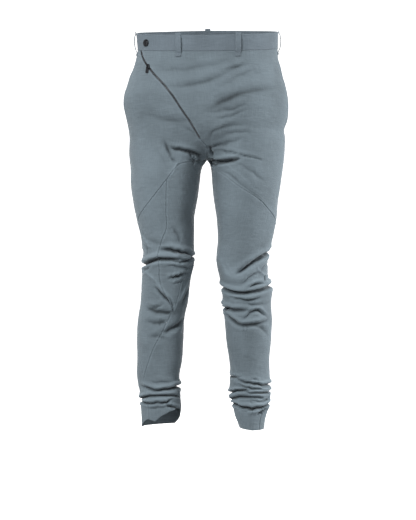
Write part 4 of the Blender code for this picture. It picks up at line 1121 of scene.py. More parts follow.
zip_line_u = softened(seam_u(ZIP_LINE), BAND_END, ZIP_END, 40)
seam_a_left = softened(seam_u(SEAM_A_LEFT, (SLANT_END, SIDE_END_U)), CROTCH, SLANT_END, 12)
seam_a_right = softened(seam_u(SEAM_A_RIGHT, (SLANT_END, SIDE_END_U)), CROTCH, SLANT_END)
seam_b_line = softened(seam_u(SEAM_B, (SEAM_B_END, SEAM_B_END_U)), SEAM_B_START, SEAM_B_END)
seam_c = softened(seam_u(SEAM_C, (SEAM_C_END, SEAM_C_END_U)), SEAM_C_START, SEAM_C_END)


def seam_b(drop):
    """Seam B starts on seam A."""
    return np.minimum(seam_b_line(drop), seam_a_left(drop))


def zip_u(drop):
    """u of the zip's middle on the left half. Below its end the seam runs on to the centre front."""
    return np.maximum(zip_line_u(drop), 0) * np.clip((STAR - drop) / (STAR - ZIP_END), 0, 1)


def along_side(seam):
    """A seam that is given by its own u."""
    return lambda drop: smooth(drop, seam["drop"], seam["u"])


def constant(u):
    """An edge that stays at one u."""
    return lambda drop: np.full(np.shape(drop), float(u))


def first_of(limits, *curves):
    """One edge made of several: the first curve down to the first limit, and so on."""
    *upper, last = curves
    return lambda drop: np.select(
        [drop < limit for limit in limits], [curve(drop) for curve in upper], last(drop)
    )


def pocket_mouth(drop):
    """The mouth of a front pocket slants back towards the side seam."""
    return np.interp(drop, POCKET_MOUTH["drop"], POCKET_MOUTH["u"])


def hem_drop(half, u, row):
    """Row height near a hem, stretched so that the last row lies on the hem's edge."""
    hem = RIGHT_HEM if half else LEFT_HEM
    edge = np.interp(np.mod(u, 1), hem["u"], hem["drop"])
    stretched = CUFF_START + (row - CUFF_START) * (edge - CUFF_START) / (HEM - CUFF_START)
    return np.where(row > CUFF_START, stretched, row), edge


print("the zip starts at u =", zip_u(np.array([BAND_END]))[0].round(3))

# %% [markdown]
# ## Sewn panels
# Two cut edges meet at each seam, and the cloth turns in there. So each panel is a thin shell on its own
# grid, whose rows follow the drop and whose columns follow its two seams. Rows and columns crowd at
# the edges, where the cloth turns, and rows also where it is gathered. The distance to a slanted seam is
# measured on the cloth, because a row meets such a seam at a flat angle.

# %% Panel grid
EDGE_STEPS = np.array([0, 0.25, 0.6, 1.1, 1.9, 3.2, 5.0])
STEEPEST, WIDEST_SPREAD, EDGE_SHARE = 300, 2.5, 0.35
FRONT_PITCH, BACK_PITCH = 2.4, 3.8


def panel_rows(plain, creased, steep):
    """Drops of a panel's rows: close together at its ends, the crotch, the knees and the ankles."""
    spans = (
        (46, CROTCH, plain),
        (CROTCH, 450, plain),
        (CROTCH + 0.9, CROTCH + 18, steep),
        (450, 700, creased),
        (700, 780, plain),
        (780, 903, creased * 0.72),
    )
    between = [np.arange(*span) for span in spans]
    return np.unique(np.concatenate([BAND_END + 0.1 + EDGE_STEPS, *between, HEM - EDGE_STEPS]).round(3))


FRONT_ROWS, BACK_ROWS = panel_rows(2.8, 1.5, 0.6), panel_rows(4.2, 2.2, 1.5)


def mm_per_u(half, u, drop, step=0.004):
    """Length of a unit of u, from a short step each way."""
    run = base_point(half, u + step, drop) - base_point(half, u - step, drop)
    return np.linalg.norm(run, axis=-1) / (2 * step)


def edge_distance(u, rows, edge, scale, reach=16):
    """Distance in mm from each place to an edge: to the nearest of its pieces a few rows up or down."""
    own = np.arange(len(rows))
    nearest = np.full(u.shape, np.inf)
    for step in range(-reach, reach):
        a, b = (np.clip(own + step + k, 0, len(rows) - 1) for k in (0, 1))
        away_x, away_y = (edge[a][:, None] - u) * scale[:, None], (rows[a] - rows)[:, None]
        run_x, run_y = ((edge[b] - edge[a]) * scale)[:, None], (rows[b] - rows[a])[:, None]
        t = np.clip(-(away_x * run_x + away_y * run_y) / (run_x**2 + run_y**2 + 1e-9), 0, 1)
        nearest = np.minimum(nearest, np.hypot(away_x + t * run_x, away_y + t * run_y))
    return nearest


def panel_grid(half, rows, start, end, insets, pitch):
    """u and the distances to both edges. An inset is widened by sqrt(1 + slope^2) where a seam leans."""
    first, last = start(rows), end(rows)
    leans, scales = [], []
    for curve in (first, last):
        scale = mm_per_u(half, curve, rows)
        slope = abs(np.diff(curve) / np.diff(rows))
        slope = np.maximum(np.append(slope, 0), np.insert(slope, 0, 0)) * scale
        leans.append(np.sqrt(1 + np.minimum(slope**2, STEEPEST)))
        scales.append(scale)
    first = first + insets[0] * leans[0] / scales[0]
    last = last - insets[1] * leans[1] / scales[1]
    width = np.maximum((last - first) * (scales[0] + scales[1]) / 2, 0.05)
    # The close columns at an edge spread with its lean, but never over more than a share of the width.
    spread = [np.minimum(lean, WIDEST_SPREAD) for lean in leans]
    spread = [wide * np.minimum(1, EDGE_SHARE * width / (EDGE_STEPS[-1] * wide)) for wide in spread]
    near = EDGE_STEPS * spread[0][:, None]
    far = width[:, None] - (EDGE_STEPS * spread[1][:, None])[:, ::-1]
    columns = int(max(4, np.percentile(width, 90) / pitch))
    t = np.linspace(0, 1, columns)[1:-1]
    middle = near[:, -1:] * (1 - t) + far[:, :1] * t
    place = np.concatenate([near, middle, far], axis=1)
    share = place / width[:, None]
    u = first[:, None] * (1 - share) + last[:, None] * share
    return u, edge_distance(u, rows, first, scales[0]), edge_distance(u, rows, last, scales[1])


print("rows of a front panel:", len(FRONT_ROWS), "of a back panel:", len(BACK_ROWS))

# %% [markdown]
# Two panels meet in a rounded groove. One side of a seam carries the turned allowance and stands a
# little higher, and the thread puckers the cloth beside it. The last centimetre of a leg is doubled by
# the hem. All of this is added to the height of the cloth, because it is far too fine for a modifier.

# %% Relief of seams, hems, pocket mouths and the zip's opening
EDGE_ROUND = 0.5
HEM_DEPTH = 9.0
GROOVE_DEPTH, GROOVE_WIDTH = 0.5, 0.9
SHOULDER_HEIGHT, SHOULDER_AT, SHOULDER_WIDTH = 0.35, 2.4, 1.1
RAISED_TO, RAISED_FADES = 6.0, 2.5
PUCKER_HEIGHT, PUCKER_REACH = 0.16, 5.0
HEM_DOUBLED, HEM_GROOVE = 0.5, 0.35
# Painted shade in creases and a painted highlight on swells, put into the cloth's colour.
DARKEST_AT, CREASE_PAINTED_SHADE, SWELL_PAINTED_HIGHLIGHT = 6.0, 0.8, 0.24
MOUTH_LIFT = 0.8
SLOT, SLOT_WIDENS = 2.2, 1.2
SLOT_OPENS_AT = 76.0


def edge_draw(distance, radius=EDGE_ROUND):
    """How far a rounded edge lies below its face: r - sqrt(r^2 - (r - d)^2)."""
    inside = radius - np.clip(distance, 0, radius)
    return radius - np.sqrt(radius**2 - inside**2)


def seam_relief(distance, drop, press, phase):
    """Beside a seam: a groove with a shoulder, `press` mm of turned allowance, and the thread's pucker."""
    dip = -GROOVE_DEPTH * bell(distance, GROOVE_WIDTH)
    dip = dip + SHOULDER_HEIGHT * bell(distance - SHOULDER_AT, SHOULDER_WIDTH)
    raised = press * (1 - ease((distance - RAISED_TO) / RAISED_FADES))
    waves = np.sin(drop / 1.9 + phase) * np.sin(drop / 7.3 + 2 * phase)
    waves = waves + 0.6 * np.sin(drop / 3.1 + 3 * phase)
    return dip + raised + PUCKER_HEIGHT * waves * np.exp(-distance / PUCKER_REACH)


def hem_relief(distance):
    """The hem's second layer, with a small groove where it is stitched."""
    doubled = HEM_DOUBLED * (1 - ease((distance - HEM_DEPTH - 0.5) / 1.5))
    return doubled - HEM_GROOVE * bell(distance - HEM_DEPTH, GROOVE_WIDTH)


def painted_crease_shade(relief):
    """Crease depth as painted shade, darker with the power 1.5 of a trough's depth, and as a painted
    highlight, paler on a swell.
    """
    deep = np.clip(-relief / DARKEST_AT, 0, 1)
    return -CREASE_PAINTED_SHADE * deep**1.5 + SWELL_PAINTED_HIGHLIGHT * np.clip(relief / SWELL_LIMIT, 0, 1)


def mouth_lift(u, drop):
    """A front panel stands a little off at its pocket's mouth."""
    return MOUTH_LIFT * ease((u - 0.30) / 0.12) * ease((POCKET_END - drop) / 40)


def opening(drop):
    """How far the zip is open: 0 below its slider, 1 at the band."""
    return np.clip((SLOT_OPENS_AT - drop) / (SLOT_OPENS_AT - BAND_END), 0, 1)


print("a seam's relief at 0, 1, 2 and 8 mm:", seam_relief(np.array([0, 1, 2, 8.0]), 0, 0.3, 1.0).round(2))

# %% [markdown]
# The panels differ only in their two seams, their ends and which of them lies on top at a seam, so one
# function sews them all. A table names each panel's edges, as a pattern cutter marks the pieces.

# %% Panels
CLOTH, SEAM_GAP, LAP = 1.2, 0.06, 0.6
FORK_GAP = 0.3
NARROWEST, USUAL_RING = 0.5, 420
# A painted highlight along the raised shoulder beside each seam.
SHOULDER_HIGHLIGHT_WIDTH, SHOULDER_PAINTED_HIGHLIGHT = 1.5, 0.1
SEWN = {}


def wall(points, normals, height, thickness, draw):
    """(outer, inner) faces of cloth whose outer face is `height` over the points, drawn in at its edges."""
    outer = points + (height - draw)[..., None] * normals
    return outer, points + (height - thickness + draw)[..., None] * normals


def sew_panel(name, half, ends, edges, press):
    """One panel between two seams: its grid, its relief, and its shell in the place of its node."""
    (top, bottom), (start, end) = ends, edges
    front, behind = name.startswith("front"), name.startswith("back")
    rows = BACK_ROWS if behind else FRONT_ROWS
    rows = rows[(rows > top) & (rows <= bottom)]
    # Where two seams run together, rows that are narrower than half a millimetre are left out.
    rows = rows[(end(rows) - start(rows)) * USUAL_RING > NARROWEST]
    inset = np.where(front & (rows < ZIP_END), SLOT + SLOT_WIDENS * opening(rows), SEAM_GAP)
    inset = inset + np.where(rows < CROTCH + 8, FORK_GAP, 0.0) * (top >= CROTCH)
    insets = (inset, np.full(len(rows), SEAM_GAP))
    u, near, far = panel_grid(half, rows, start, end, insets, BACK_PITCH if behind else FRONT_PITCH)
    drop, hem = hem_drop(half, u, np.broadcast_to(rows[:, None], u.shape))
    points, normals, creased = cloth(half, u, drop)
    out = seam_relief(near, drop, press[0], 1.0) + seam_relief(far, drop, press[1], 2.6)
    if front:
        out = out + mouth_lift(u, drop)
    edge = np.minimum(near, far)
    edge = np.minimum(edge, drop - drop.min() if top < BAND_END + 1 else np.inf)
    if bottom == HEM:
        out = out + hem_relief(hem - drop) * (drop > CUFF_START)
        edge = np.minimum(edge, hem - drop)
    outer, inner = wall(points, normals, out, CLOTH, edge_draw(edge))
    for column, beside in ((0, 1), (-1, -2)):
        inner[:, column] += LAP * unit(outer[:, column] - outer[:, beside])
    # Painted shade in the creases and a painted highlight on the seam shoulders go into the colour.
    shoulder_highlight = bell(near - SHOULDER_AT, SHOULDER_HIGHLIGHT_WIDTH) + bell(far - SHOULDER_AT, SHOULDER_HIGHLIGHT_WIDTH)
    tone = painted_crease_shade(creased) + SHOULDER_PAINTED_HIGHLIGHT * shoulder_highlight
    sew(name, "cloth", outer, inner, cloth_uv(half, u, drop, outer), "cloth", half == RIGHT, tone)
    SEWN[name] = (outer, normals, rows)


fronts = ("front_left_upper", "front_right_apron")
outseams = (along_side(OUTSEAM_LEFT), along_side(OUTSEAM_RIGHT))
inseam_right = along_side(INSEAM_RIGHT)
centre, back_centre = constant(0), constant(1)


def mirrored_zip(drop):
    """The zip as the right half has it: it lies past that half's centre front."""
    return -zip_u(drop)


zip_edges = (
    first_of((STAR, CROTCH), zip_u, centre, seam_a_left),
    first_of((STAR, CROTCH), mirrored_zip, centre, seam_a_right),
)
pocket_edges = [first_of((POCKET_END,), pocket_mouth, outseam) for outseam in outseams]
seams_b_c = first_of((SEAM_B_END + 1,), seam_b, seam_c)


def back_inseam(drop):
    """The right inseam as the back panel meets it, once round the leg."""
    return 1 + inseam_right(drop)


PANELS = (
    (fronts[LEFT], LEFT, (BAND_END, SLANT_END), (zip_edges[LEFT], pocket_edges[LEFT]), (0.35, 0.3)),
    (fronts[RIGHT], RIGHT, (BAND_END, SLANT_END), (zip_edges[RIGHT], pocket_edges[RIGHT]), (0.45, 0.3)),
    (
        "left_inner_thigh",
        LEFT,
        (CROTCH + 0.4, SEAM_B_END),
        (first_of((SEAM_C_START,), centre, seam_c), first_of((SEAM_B_START,), seam_a_left, seam_b)),
        (0.0, 0.1),
    ),
    (
        "left_outer_knee",
        LEFT,
        (SEAM_B_START, SEAM_C_END),
        (seams_b_c, first_of((SLANT_END + 1,), seam_a_left, outseams[LEFT])),
        (0.3, 0.0),
    ),
    (
        "left_shin",
        LEFT,
        (SEAM_C_START, HEM),
        (centre, first_of((SEAM_C_END + 1,), seam_c, outseams[LEFT])),
        (0.3, 0.35),
    ),
    (
        "right_leg_front",
        RIGHT,
        (CROTCH + 2.5, HEM),
        (inseam_right, first_of((SLANT_END + 1,), seam_a_right, outseams[RIGHT])),
        (0.3, 0.0),
    ),
    ("back_left", LEFT, (BAND_END, HEM), (outseams[LEFT], back_centre), (0.25, 0.3)),
    ("back_right", RIGHT, (BAND_END, HEM), (outseams[RIGHT], back_inseam), (0.25, 0.0)),
)
for panel in PANELS:
    sew_panel(*panel)


# %% [markdown]
# ## Pocket facings
# Behind each slanted pocket mouth a strip of the same cloth shows. It starts under the front panel and
# ends at the side seam, a little further in than the cloth that covers it. It could be part of the back
# panel, but on real trousers it is sewn to the pocket bag, so it stays a piece of its own.

# %% Pocket facings
FACING_DEPTH = CLOTH + 0.7
FACING_UNDER_U, FACING_END_U, FACING_COLUMNS = 0.018, 0.512, 22


def sew_facing(name, half):
    """A plain strip on the garment's form, moved in under the front panel."""
    rows = np.append(BACK_ROWS[BACK_ROWS <= POCKET_END], POCKET_BAG_END)
    start = pocket_edges[LEFT](np.minimum(rows, POCKET_END)) - FACING_UNDER_U
    t = np.linspace(0, 1, FACING_COLUMNS)
    u = start[:, None] * (1 - t) + FACING_END_U * t
    drop = np.broadcast_to(rows[:, None], u.shape)
    points, normals, creased = cloth(half, u, drop)
    outer = points - FACING_DEPTH * normals
    inner = outer - CLOTH * normals
    uv = cloth_uv(half, u, drop, outer)
    # The facing carries the same painted crease shade and painted swell highlight.
    sew(name, "cloth", outer, inner, uv, "cloth", half == RIGHT, painted_crease_shade(creased))


sew_facing("pocket_facing_left", LEFT)
sew_facing("pocket_facing_right", RIGHT)

# %% [markdown]
# ## Waistband
# The band is one strip folded over at the top edge, so that edge is round and its lower edge is a seam.
# It closes with a stud over an underlap at the hip. The band is stiffer than the panels, so it lies on
# the same surface but takes only a slight wave and the puckers that its lower seam pulls into it. The
# underlap is the same strip, lowered behind the front end, rather than a piece of its own.

# %% Waistband
BAND_WALL, BAND_PROUD, UNDERLAP = 2.4, 0.6, 0.08
BAND_GAP = 0.35
BAND_ROUND, BAND_PITCH = 0.95, 4.0
BAND_PUCKER, BAND_WAVE = 0.14, 0.22
UNDERLAP_SPARE, UNDERLAP_FROM, UNDERLAP_OVER = 0.15, 0.06, 0.05
BAND_END_X = -154.0
HALF_GAP_U, STEPS_PER_U = 0.0003, 1000
band_end_u = lookup(BAND_END_X, 20.0)[1]


def sew_band(name, start, end, lowered):
    """A doubled wall, round along the top and at its ends. `along` counts thousandths of u."""
    rows = np.unique(np.concatenate([EDGE_STEPS, np.arange(6, 32, 3.4), BAND_END - 0.1 - EDGE_STEPS]))
    width = (end - start) * STEPS_PER_U
    ends = EDGE_STEPS / width
    middle = np.linspace(ends[-1], 1 - ends[-1], int(width / BAND_PITCH))[1:-1]
    t = np.concatenate([ends, middle, 1 - ends[::-1]])
    u = np.broadcast_to(start + (end - start) * t, (len(rows), len(t)))
    drop = np.broadcast_to(rows[:, None], u.shape)
    points, normals, _ = cloth(RIGHT, u, drop)
    along = t * width
    pucker = np.sin(along / 4.1) * np.sin(along / 17.0 + 1) + 0.7 * np.sin(along / 8.3 + 2)
    out = BAND_PROUD + lowered(u) + BAND_PUCKER * pucker * np.exp(-(BAND_END - drop) / 7.0)
    out = out + BAND_WAVE * np.sin(along / 31.0) * np.sin(drop / 19.0)
    edge = np.minimum(np.minimum(drop, BAND_END - drop), np.minimum(t, 1 - t) * width)
    outer, inner = wall(points, normals, out, BAND_WALL, edge_draw(edge, BAND_ROUND))
    sew(name, "cloth", outer, inner, cloth_uv(RIGHT, u, drop, outer), "band", True)
    SEWN[name] = (outer, normals, rows)


def lowered_underlap(u):
    """The end of the back band dips under the front one over a few centimetres."""
    depth = BAND_WALL + BAND_GAP + UNDERLAP_SPARE
    return -depth * ease((u - (2 - band_end_u - UNDERLAP_FROM)) / UNDERLAP_OVER)


sew_band("waistband_front", -band_end_u + HALF_GAP_U, 0.5 - HALF_GAP_U, np.zeros_like)
sew_band("waistband_back", 0.5 + HALF_GAP_U, 2 - band_end_u + UNDERLAP, lowered_underlap)

# %% [markdown]
# ## Belt loops
# Each loop is a folded strip, tacked above the band's edge and below its seam. Between the tacks it
# stands off for the belt. A smooth curve through a few heights carries the strip, because a plain arch
# would leave the cloth too early at the tacks. Two rows of stitches run along it, each in a channel.

# %% Belt loops
LOOP_WIDTH, LOOP_TOP, LOOP_BOTTOM, LOOP_WALL = 12.5, -4.0, 52.0, 1.6
LOOP_PITCH, LOOP_ROUND, LOOP_STITCH = 1.8, 0.75, 4
LOOP_DROPS = np.array([LOOP_TOP, 1, 6, 13, 22, 31, 39, 45, LOOP_BOTTOM])
LOOP_SIDES = np.array([-1, -0.97, -0.9, -0.78, -0.68, -0.4, 0, 0.4, 0.68, 0.78, 0.9, 0.97, 1])
LOOPS = {
    "belt_loop_side_left": (LEFT, 0.452, 6.0),
    "belt_loop_front_left": (LEFT, 0.128, 4.4),
    "belt_loop_front_right": (RIGHT, 0.133, 4.4),
    "belt_loop_side_right": (RIGHT, 0.478, 6.2),
    "belt_loop_back": (RIGHT, 0.999, 3.4),
}


def loop_height(drop, stand):
    """Height of a loop over the cloth: on it at the tacks, a flattened half sine up to `stand` between."""
    near = BAND_PROUD + BAND_GAP
    arch = np.sin(np.clip((drop - 1) / 43, 0, 1) * math.pi) ** 0.6
    rest = np.where(drop > BAND_END + 5, 0.4, near + 0.1)
    return rest + (stand - near) * arch


def sew_loop(name, half, u, stand):
    """A strip with rounded edges and thicker, folded-under ends."""
    ends = EDGE_STEPS[:6]
    drops = np.unique(np.concatenate([LOOP_TOP + ends, np.arange(0, 50, LOOP_PITCH), LOOP_BOTTOM - ends]))
    height = smooth(drops, LOOP_DROPS, loop_height(LOOP_DROPS, stand))
    across = LOOP_SIDES * LOOP_WIDTH / 2
    grid_u = u + across / mm_per_u(half, np.full(len(drops), u), drops)[:, None]
    drop = np.broadcast_to(drops[:, None], grid_u.shape)
    points, normals, _ = cloth(half, grid_u, drop)
    low = points + height[:, None, None] * normals
    to_side = LOOP_WIDTH / 2 - abs(across)
    to_end = np.minimum(drops - LOOP_TOP, LOOP_BOTTOM - drops)[:, None]
    draw = edge_draw(np.minimum(to_side, to_end), LOOP_ROUND)
    turned = 0.35 * (1 - ease((to_end - 5) / 2))
    channel = 0.12 * bell(to_side - 2.0, 0.6)
    outer = low + (LOOP_WALL + turned - draw - channel)[..., None] * normals
    inner = low + draw[..., None] * normals
    uv = np.stack(np.broadcast_arrays(across, -drop), axis=-1)
    sew(name, "cloth", outer, inner, uv, "band", half == RIGHT)
    SEWN[name] = (outer, normals, drops)


for name, loop in LOOPS.items():
    sew_loop(name, *loop)


# %% [markdown]
# ## Small repeated shapes
# Teeth and stitches are copies of one small closed form, a tube with a pole at each end, that a frame of
# three directions carries to its place. All copies are worked out at once as arrays and stay one mesh,
# which is lighter than hundreds of objects. The same tube also gives the slider, the pull and the stud.

# %% Tubes and copies


def tube_faces(rings, around):
    """Quads between rings of `around` points, and triangles to the two poles that follow them."""
    row, column = np.meshgrid(np.arange(rings - 1), np.arange(around), indexing="ij")
    a, b = row * around + column, row * around + (column + 1) % around
    quads = np.stack([a, b, b + around, a + around], axis=-1).reshape(-1, 4)
    ring = np.arange(around)
    after, last, none = (ring + 1) % around, (rings - 1) * around, np.full(around, -1)
    low = np.stack([after, ring, np.full(around, rings * around), none], axis=1)
    high = np.stack([last + ring, last + after, np.full(around, rings * around + 1), none], axis=1)
    return np.concatenate([quads, low, high])


def tube(rings):
    """(points, faces) of a closed form from rings of points; each pole is the middle of its end ring."""
    poles = [rings[0].mean(axis=0), rings[-1].mean(axis=0)]
    return np.concatenate([rings.reshape(-1, 3), poles]), tube_faces(*rings.shape[:2])


def rings_along(x, wide, high):
    """Rings across x: each holds the y and z of its points, row by row of `wide` and `high`."""
    return np.stack([np.broadcast_to(x[:, None], wide.shape), wide, high], axis=-1)


def joined(*forms):
    """Several forms as one."""
    shift, faces = 0, []
    for points, quads in forms:
        faces.append(np.where(quads < 0, -1, quads + shift))
        shift += len(points)
    return np.concatenate([points for points, _ in forms]), np.concatenate(faces)


def copies(form, places, axes):
    """A copy of the form at each place: its point p goes to place + p times the three axes."""
    points, faces = form
    moved = places[:, None] + points @ axes
    shift = (np.arange(len(places)) * len(points))[:, None, None]
    return moved.reshape(-1, 3), np.where(faces < 0, -1, faces + shift).reshape(-1, 4)


def rounded(power, around, start=0.0):
    """A unit squared circle, counter-clockwise."""
    angle = start + np.arange(around) * 2 * math.pi / around
    s, c = squared_circle(angle, power)
    return np.stack([c, s], axis=-1)


def spread(line, pitch):
    """Places every `pitch` mm along a line of points, with the index each falls on."""
    run = np.concatenate([[0], np.cumsum(np.linalg.norm(np.diff(line, axis=0), axis=1))])
    count = max(int(run[-1] / pitch), 1)
    return np.interp((np.arange(count) + 0.5) * run[-1] / count, run, np.arange(len(line)))


def along_line(values, index):
    """Values of a line at fractional indices."""
    low = np.minimum(index.astype(int), len(values) - 2)
    share = (index - low)[:, None]
    return values[low] * (1 - share) + values[low + 1] * share


def around_way(way, out):
    """Three directions: along the way, across it, and out of the cloth."""
    return np.stack([way, np.cross(out, way), out], axis=1)


print("faces of a tube of 5 rings by 5 points:", len(tube_faces(5, 5)))

# %% [markdown]
# ## Zip
# A metal zip has a tooth each 1.3 mm, clamped on the corded edge of its tape. The two rows mesh below the
# slider and part above it, where the zip is open for a few centimetres. Tapes and teeth follow the same
# seam line as the two front panels, so they stay in the middle of the gap between them.

# %% Zip tapes and teeth
TAPE_WIDTH, TAPE_WALL, TAPE_DEPTH, TAPE_PITCH = 10.0, 0.6, 1.75, 2.0
TAPE_PART, TAPE_OPENS, CORD_HEIGHT = 1.35, 1.9, 0.42
TAPE_STEPS = np.array([0, 0.25, 0.6, 1.0, 1.4, 2.4, 4.4, 6.4, 8.4, TAPE_WIDTH - 0.2, TAPE_WIDTH])
TOOTH_PITCH, TOOTH_AROUND = 1.32, 8
TOOTH_OUT, TOOTH_DEEP = 0.35, 1.25
TOOTH = table(
    "x wide high",
    (-0.7, 0.40, 0.55),
    (-0.6, 0.50, 0.78),
    (0.9, 0.50, 0.78),
    (1.3, 0.30, 0.60),
    (1.8, 0.46, 0.74),
    (2.4, 0.44, 0.70),
    (2.65, 0.30, 0.50),
)


def zip_part(drop):
    """Distance of a tape's edge from the middle, which grows above the slider."""
    return TAPE_PART + TAPE_OPENS * opening(drop)


def sew_tape(name, sign):
    """A thin ribbon under the cloth's edge with a corded rim beside the teeth."""
    drops = np.arange(BAND_END + 0.6, ZIP_END, TAPE_PITCH)
    u = zip_u(drops)
    scale = mm_per_u(LEFT, u, drops)
    slope = np.sqrt(1 + (np.gradient(u, drops) * scale) ** 2)
    grid_u = u[:, None] + sign * (zip_part(drops)[:, None] + TAPE_STEPS) * slope[:, None] / scale[:, None]
    drop = np.broadcast_to(drops[:, None], grid_u.shape)
    points, normals, _ = cloth(LEFT, grid_u, drop)
    cord = CORD_HEIGHT * bell(TAPE_STEPS - 0.6, 0.45) - 0.2 * (TAPE_STEPS == 0)
    outer = points + (cord - TAPE_DEPTH)[:, None] * normals
    inner = points - (cord + TAPE_DEPTH + TAPE_WALL)[:, None] * normals
    uv = np.stack(np.broadcast_arrays(sign * TAPE_STEPS, -drop), axis=-1)
    sew(name, "ribbon", outer, inner, uv, "tape", sign < 0)


def tooth():
    """One tooth along x: a block on the tape, a narrow neck and a rounded head."""
    section = rounded(3.0, TOOTH_AROUND, math.pi / TOOTH_AROUND)
    wide, high = (TOOTH[side][:, None] * section[:, k] for k, side in enumerate(("wide", "high")))
    return tube(rings_along(TOOTH["x"], wide, high))


def sew_teeth(name, sign, shift):
    """A row of teeth along one tape's edge, half a pitch before or behind the other row."""
    drops = np.arange(BAND_END + 1.0, ZIP_END - 1.0, 1.0)
    middle, normals, _ = cloth(LEFT, zip_u(drops), drops)
    index = spread(middle, TOOTH_PITCH)
    index = np.clip(index + shift * (index[1] - index[0]), 0, len(drops) - 1.01)
    way = unit(along_line(np.gradient(middle, axis=0), index))
    out = unit(along_line(normals, index))
    side = unit(np.cross(way, out)) * sign
    beside = zip_part(np.interp(index, np.arange(len(drops)), drops)) + TOOTH_OUT
    places = along_line(middle, index) + beside[:, None] * side - TOOTH_DEEP * out
    axes = np.stack([-side, way * sign, out], axis=1)
    made = make_object(name, *copies(tooth(), places, axes), "teeth", sharp=35)
    dress(made, None)
    print(name, len(index), "teeth")


sew_tape("zip_tape_left", 1)
sew_tape("zip_tape_right", -1)
sew_teeth("zip_teeth_left", -1, 0.0)
sew_teeth("zip_teeth_right", 1, 0.5)

# %% [markdown]
# ## Slider and pull
# The slider is a die-cast shield with two wings over the teeth, a post between the rows and an arch on
# top. The pull is a stamped tab that hangs on a round bar in the arch, so it is a body of its own and
# turns about the frame's hinge. Its rim is raised and its middle is sunk.

# %% The slider's frame
HINGE_HEIGHT, HINGE_Y, SLIDER_DROP = 3.45, 0.6, 76.0
hinge_joint = next(j for j in frame["joints"] if j["name"] == "zip_pull_swing")
hinge = np.array(hinge_joint["pos_m"]) / MM
slider_right = -np.array(hinge_joint["axis"])
slider_place = lookup(np.interp(SLIDER_DROP, ZIP_LINE["drop"], ZIP_LINE["x"]), SLIDER_DROP)
slider_normal = cloth(LEFT, slider_place[1:2], slider_place[2:3])[1][0]
slider_out = unit(slider_normal - (slider_normal @ slider_right) * slider_right)
slider_up = np.cross(slider_out, slider_right)
SLIDER_AXES = np.array([slider_right, slider_up, slider_out])
slider_point = hinge - HINGE_Y * slider_up - HINGE_HEIGHT * slider_out
ACROSS, UPWARDS = (1.0, 0.0, 0.0), (0.0, 1.0, 0.0)


def place_form(form, origin, axes):
    """A form moved from its own x, y, z to an origin and three directions."""
    return origin + form[0] @ axes, form[1]


def plate(half_x, half_y, levels, power=3.4, around=40, taper=0.0):
    """A flat form from levels of (z, inset): a squared circle of these half sizes, narrower towards -y."""
    outline = rounded(power, around)
    rings = np.empty((len(levels), around, 3))
    for ring, (z, inset) in zip(rings, levels):
        x, y = (half_x - inset) * outline[:, 0], (half_y - inset) * outline[:, 1]
        ring[:] = np.stack([x * (1 + taper * y / half_y), y, np.full(around, z)], axis=1)
    return tube(rings)


def bar(path, half_a, half_b, across, power=3.0, around=12, end_size=0.55):
    """A bar along a path of points: a squared circle, one of whose axes is `across`, with eased ends."""
    way = unit(np.gradient(path, axis=0))
    first = np.broadcast_to(np.asarray(across, float), path.shape)
    second = np.cross(way, first)
    size = np.ones(len(path))
    size[[0, -1]] = end_size
    outline = rounded(power, around)
    a, b = half_a * outline[:, 0], half_b * outline[:, 1]
    offset = a[None, :, None] * first[:, None] + b[None, :, None] * second[:, None]
    return tube(path[:, None] + size[:, None, None] * offset)


print("the pull's hinge, mm:", hinge.round(2))

# %% [markdown]
# The slider's body is cast in one piece, so its plates, post and arch are closed forms that run into
# one another inside a single mesh. The levels of a plate give its rolled edges.

# %% Slider
WING = ((0.9, 0.9), (0.95, 0.35), (1.15, 0.0), (1.9, 0.0), (2.25, 0.2), (2.45, 0.7), (2.5, 1.3))
CROWN = ((2.3, 0.0), (2.75, 0.1), (3.0, 0.5), (3.05, 1.0))
POST = ((-1.3, 0.2), (-1.2, 0.0), (1.4, 0.0), (1.6, 0.2))
SHIELD_TAPER = 0.14
ARCH_HALF, ARCH_FOOT, ARCH_OVER = 2.05, 2.2, 1.6


def arch_path():
    """From one foot up over the pull's bar and down to the other foot, in the plane of y and z."""
    turn = np.linspace(0, math.pi, 25)
    s, c = squared_circle(turn - math.pi / 2, 2.8)
    z = ARCH_FOOT + (HINGE_HEIGHT + ARCH_OVER - ARCH_FOOT) * np.abs(c)
    return np.stack([0 * z, HINGE_Y + ARCH_HALF * s, z], axis=-1)


def build_slider():
    """Wings, a raised crown, the post between the rows of teeth and the arch, as one cast piece."""
    forms = [
        plate(4.6, 6.4, WING, power=3.0, taper=SHIELD_TAPER),
        plate(3.1, 4.9, CROWN, power=2.6, taper=SHIELD_TAPER),
        plate(1.5, 1.6, POST, power=4.0, around=16),
        bar(arch_path(), 1.0, 0.48, ACROSS),
    ]
    points, faces = place_form(joined(*forms), slider_point, SLIDER_AXES)
    dress(make_object("zip_slider_cast", points, faces, "metal", sharp=40), "zip_slider")
    print("slider:", len(forms), "forms,", len(points), "points")


build_slider()

# %% [markdown]
# The pull is stamped from sheet brass. Its rim stands up on both faces around a sunk middle, and two
# arms leave an eye for the arch. It is modelled at rest and rides on its own body.

# %% Pull
PULL_LEVELS = (
    (-0.5, 1.5),
    (-0.52, 1.1),
    (-0.6, 0.7),
    (-0.6, 0.35),
    (-0.45, 0.06),
    (-0.2, 0.0),
    (0.2, 0.0),
    (0.45, 0.06),
    (0.6, 0.35),
    (0.6, 0.95),
    (0.45, 1.15),
    (0.38, 1.5),
)
PULL_MIDDLE, PULL_WIDE, PULL_HALF = -10.4, 3.9, 5.1
ARM = table("share x", (0, 2.9), (0.35, 2.5), (0.7, 2.3), (1, 2.3))
ARM_FROM, ARM_TO, PIN_HALF = -6.4, 0.35, 2.7


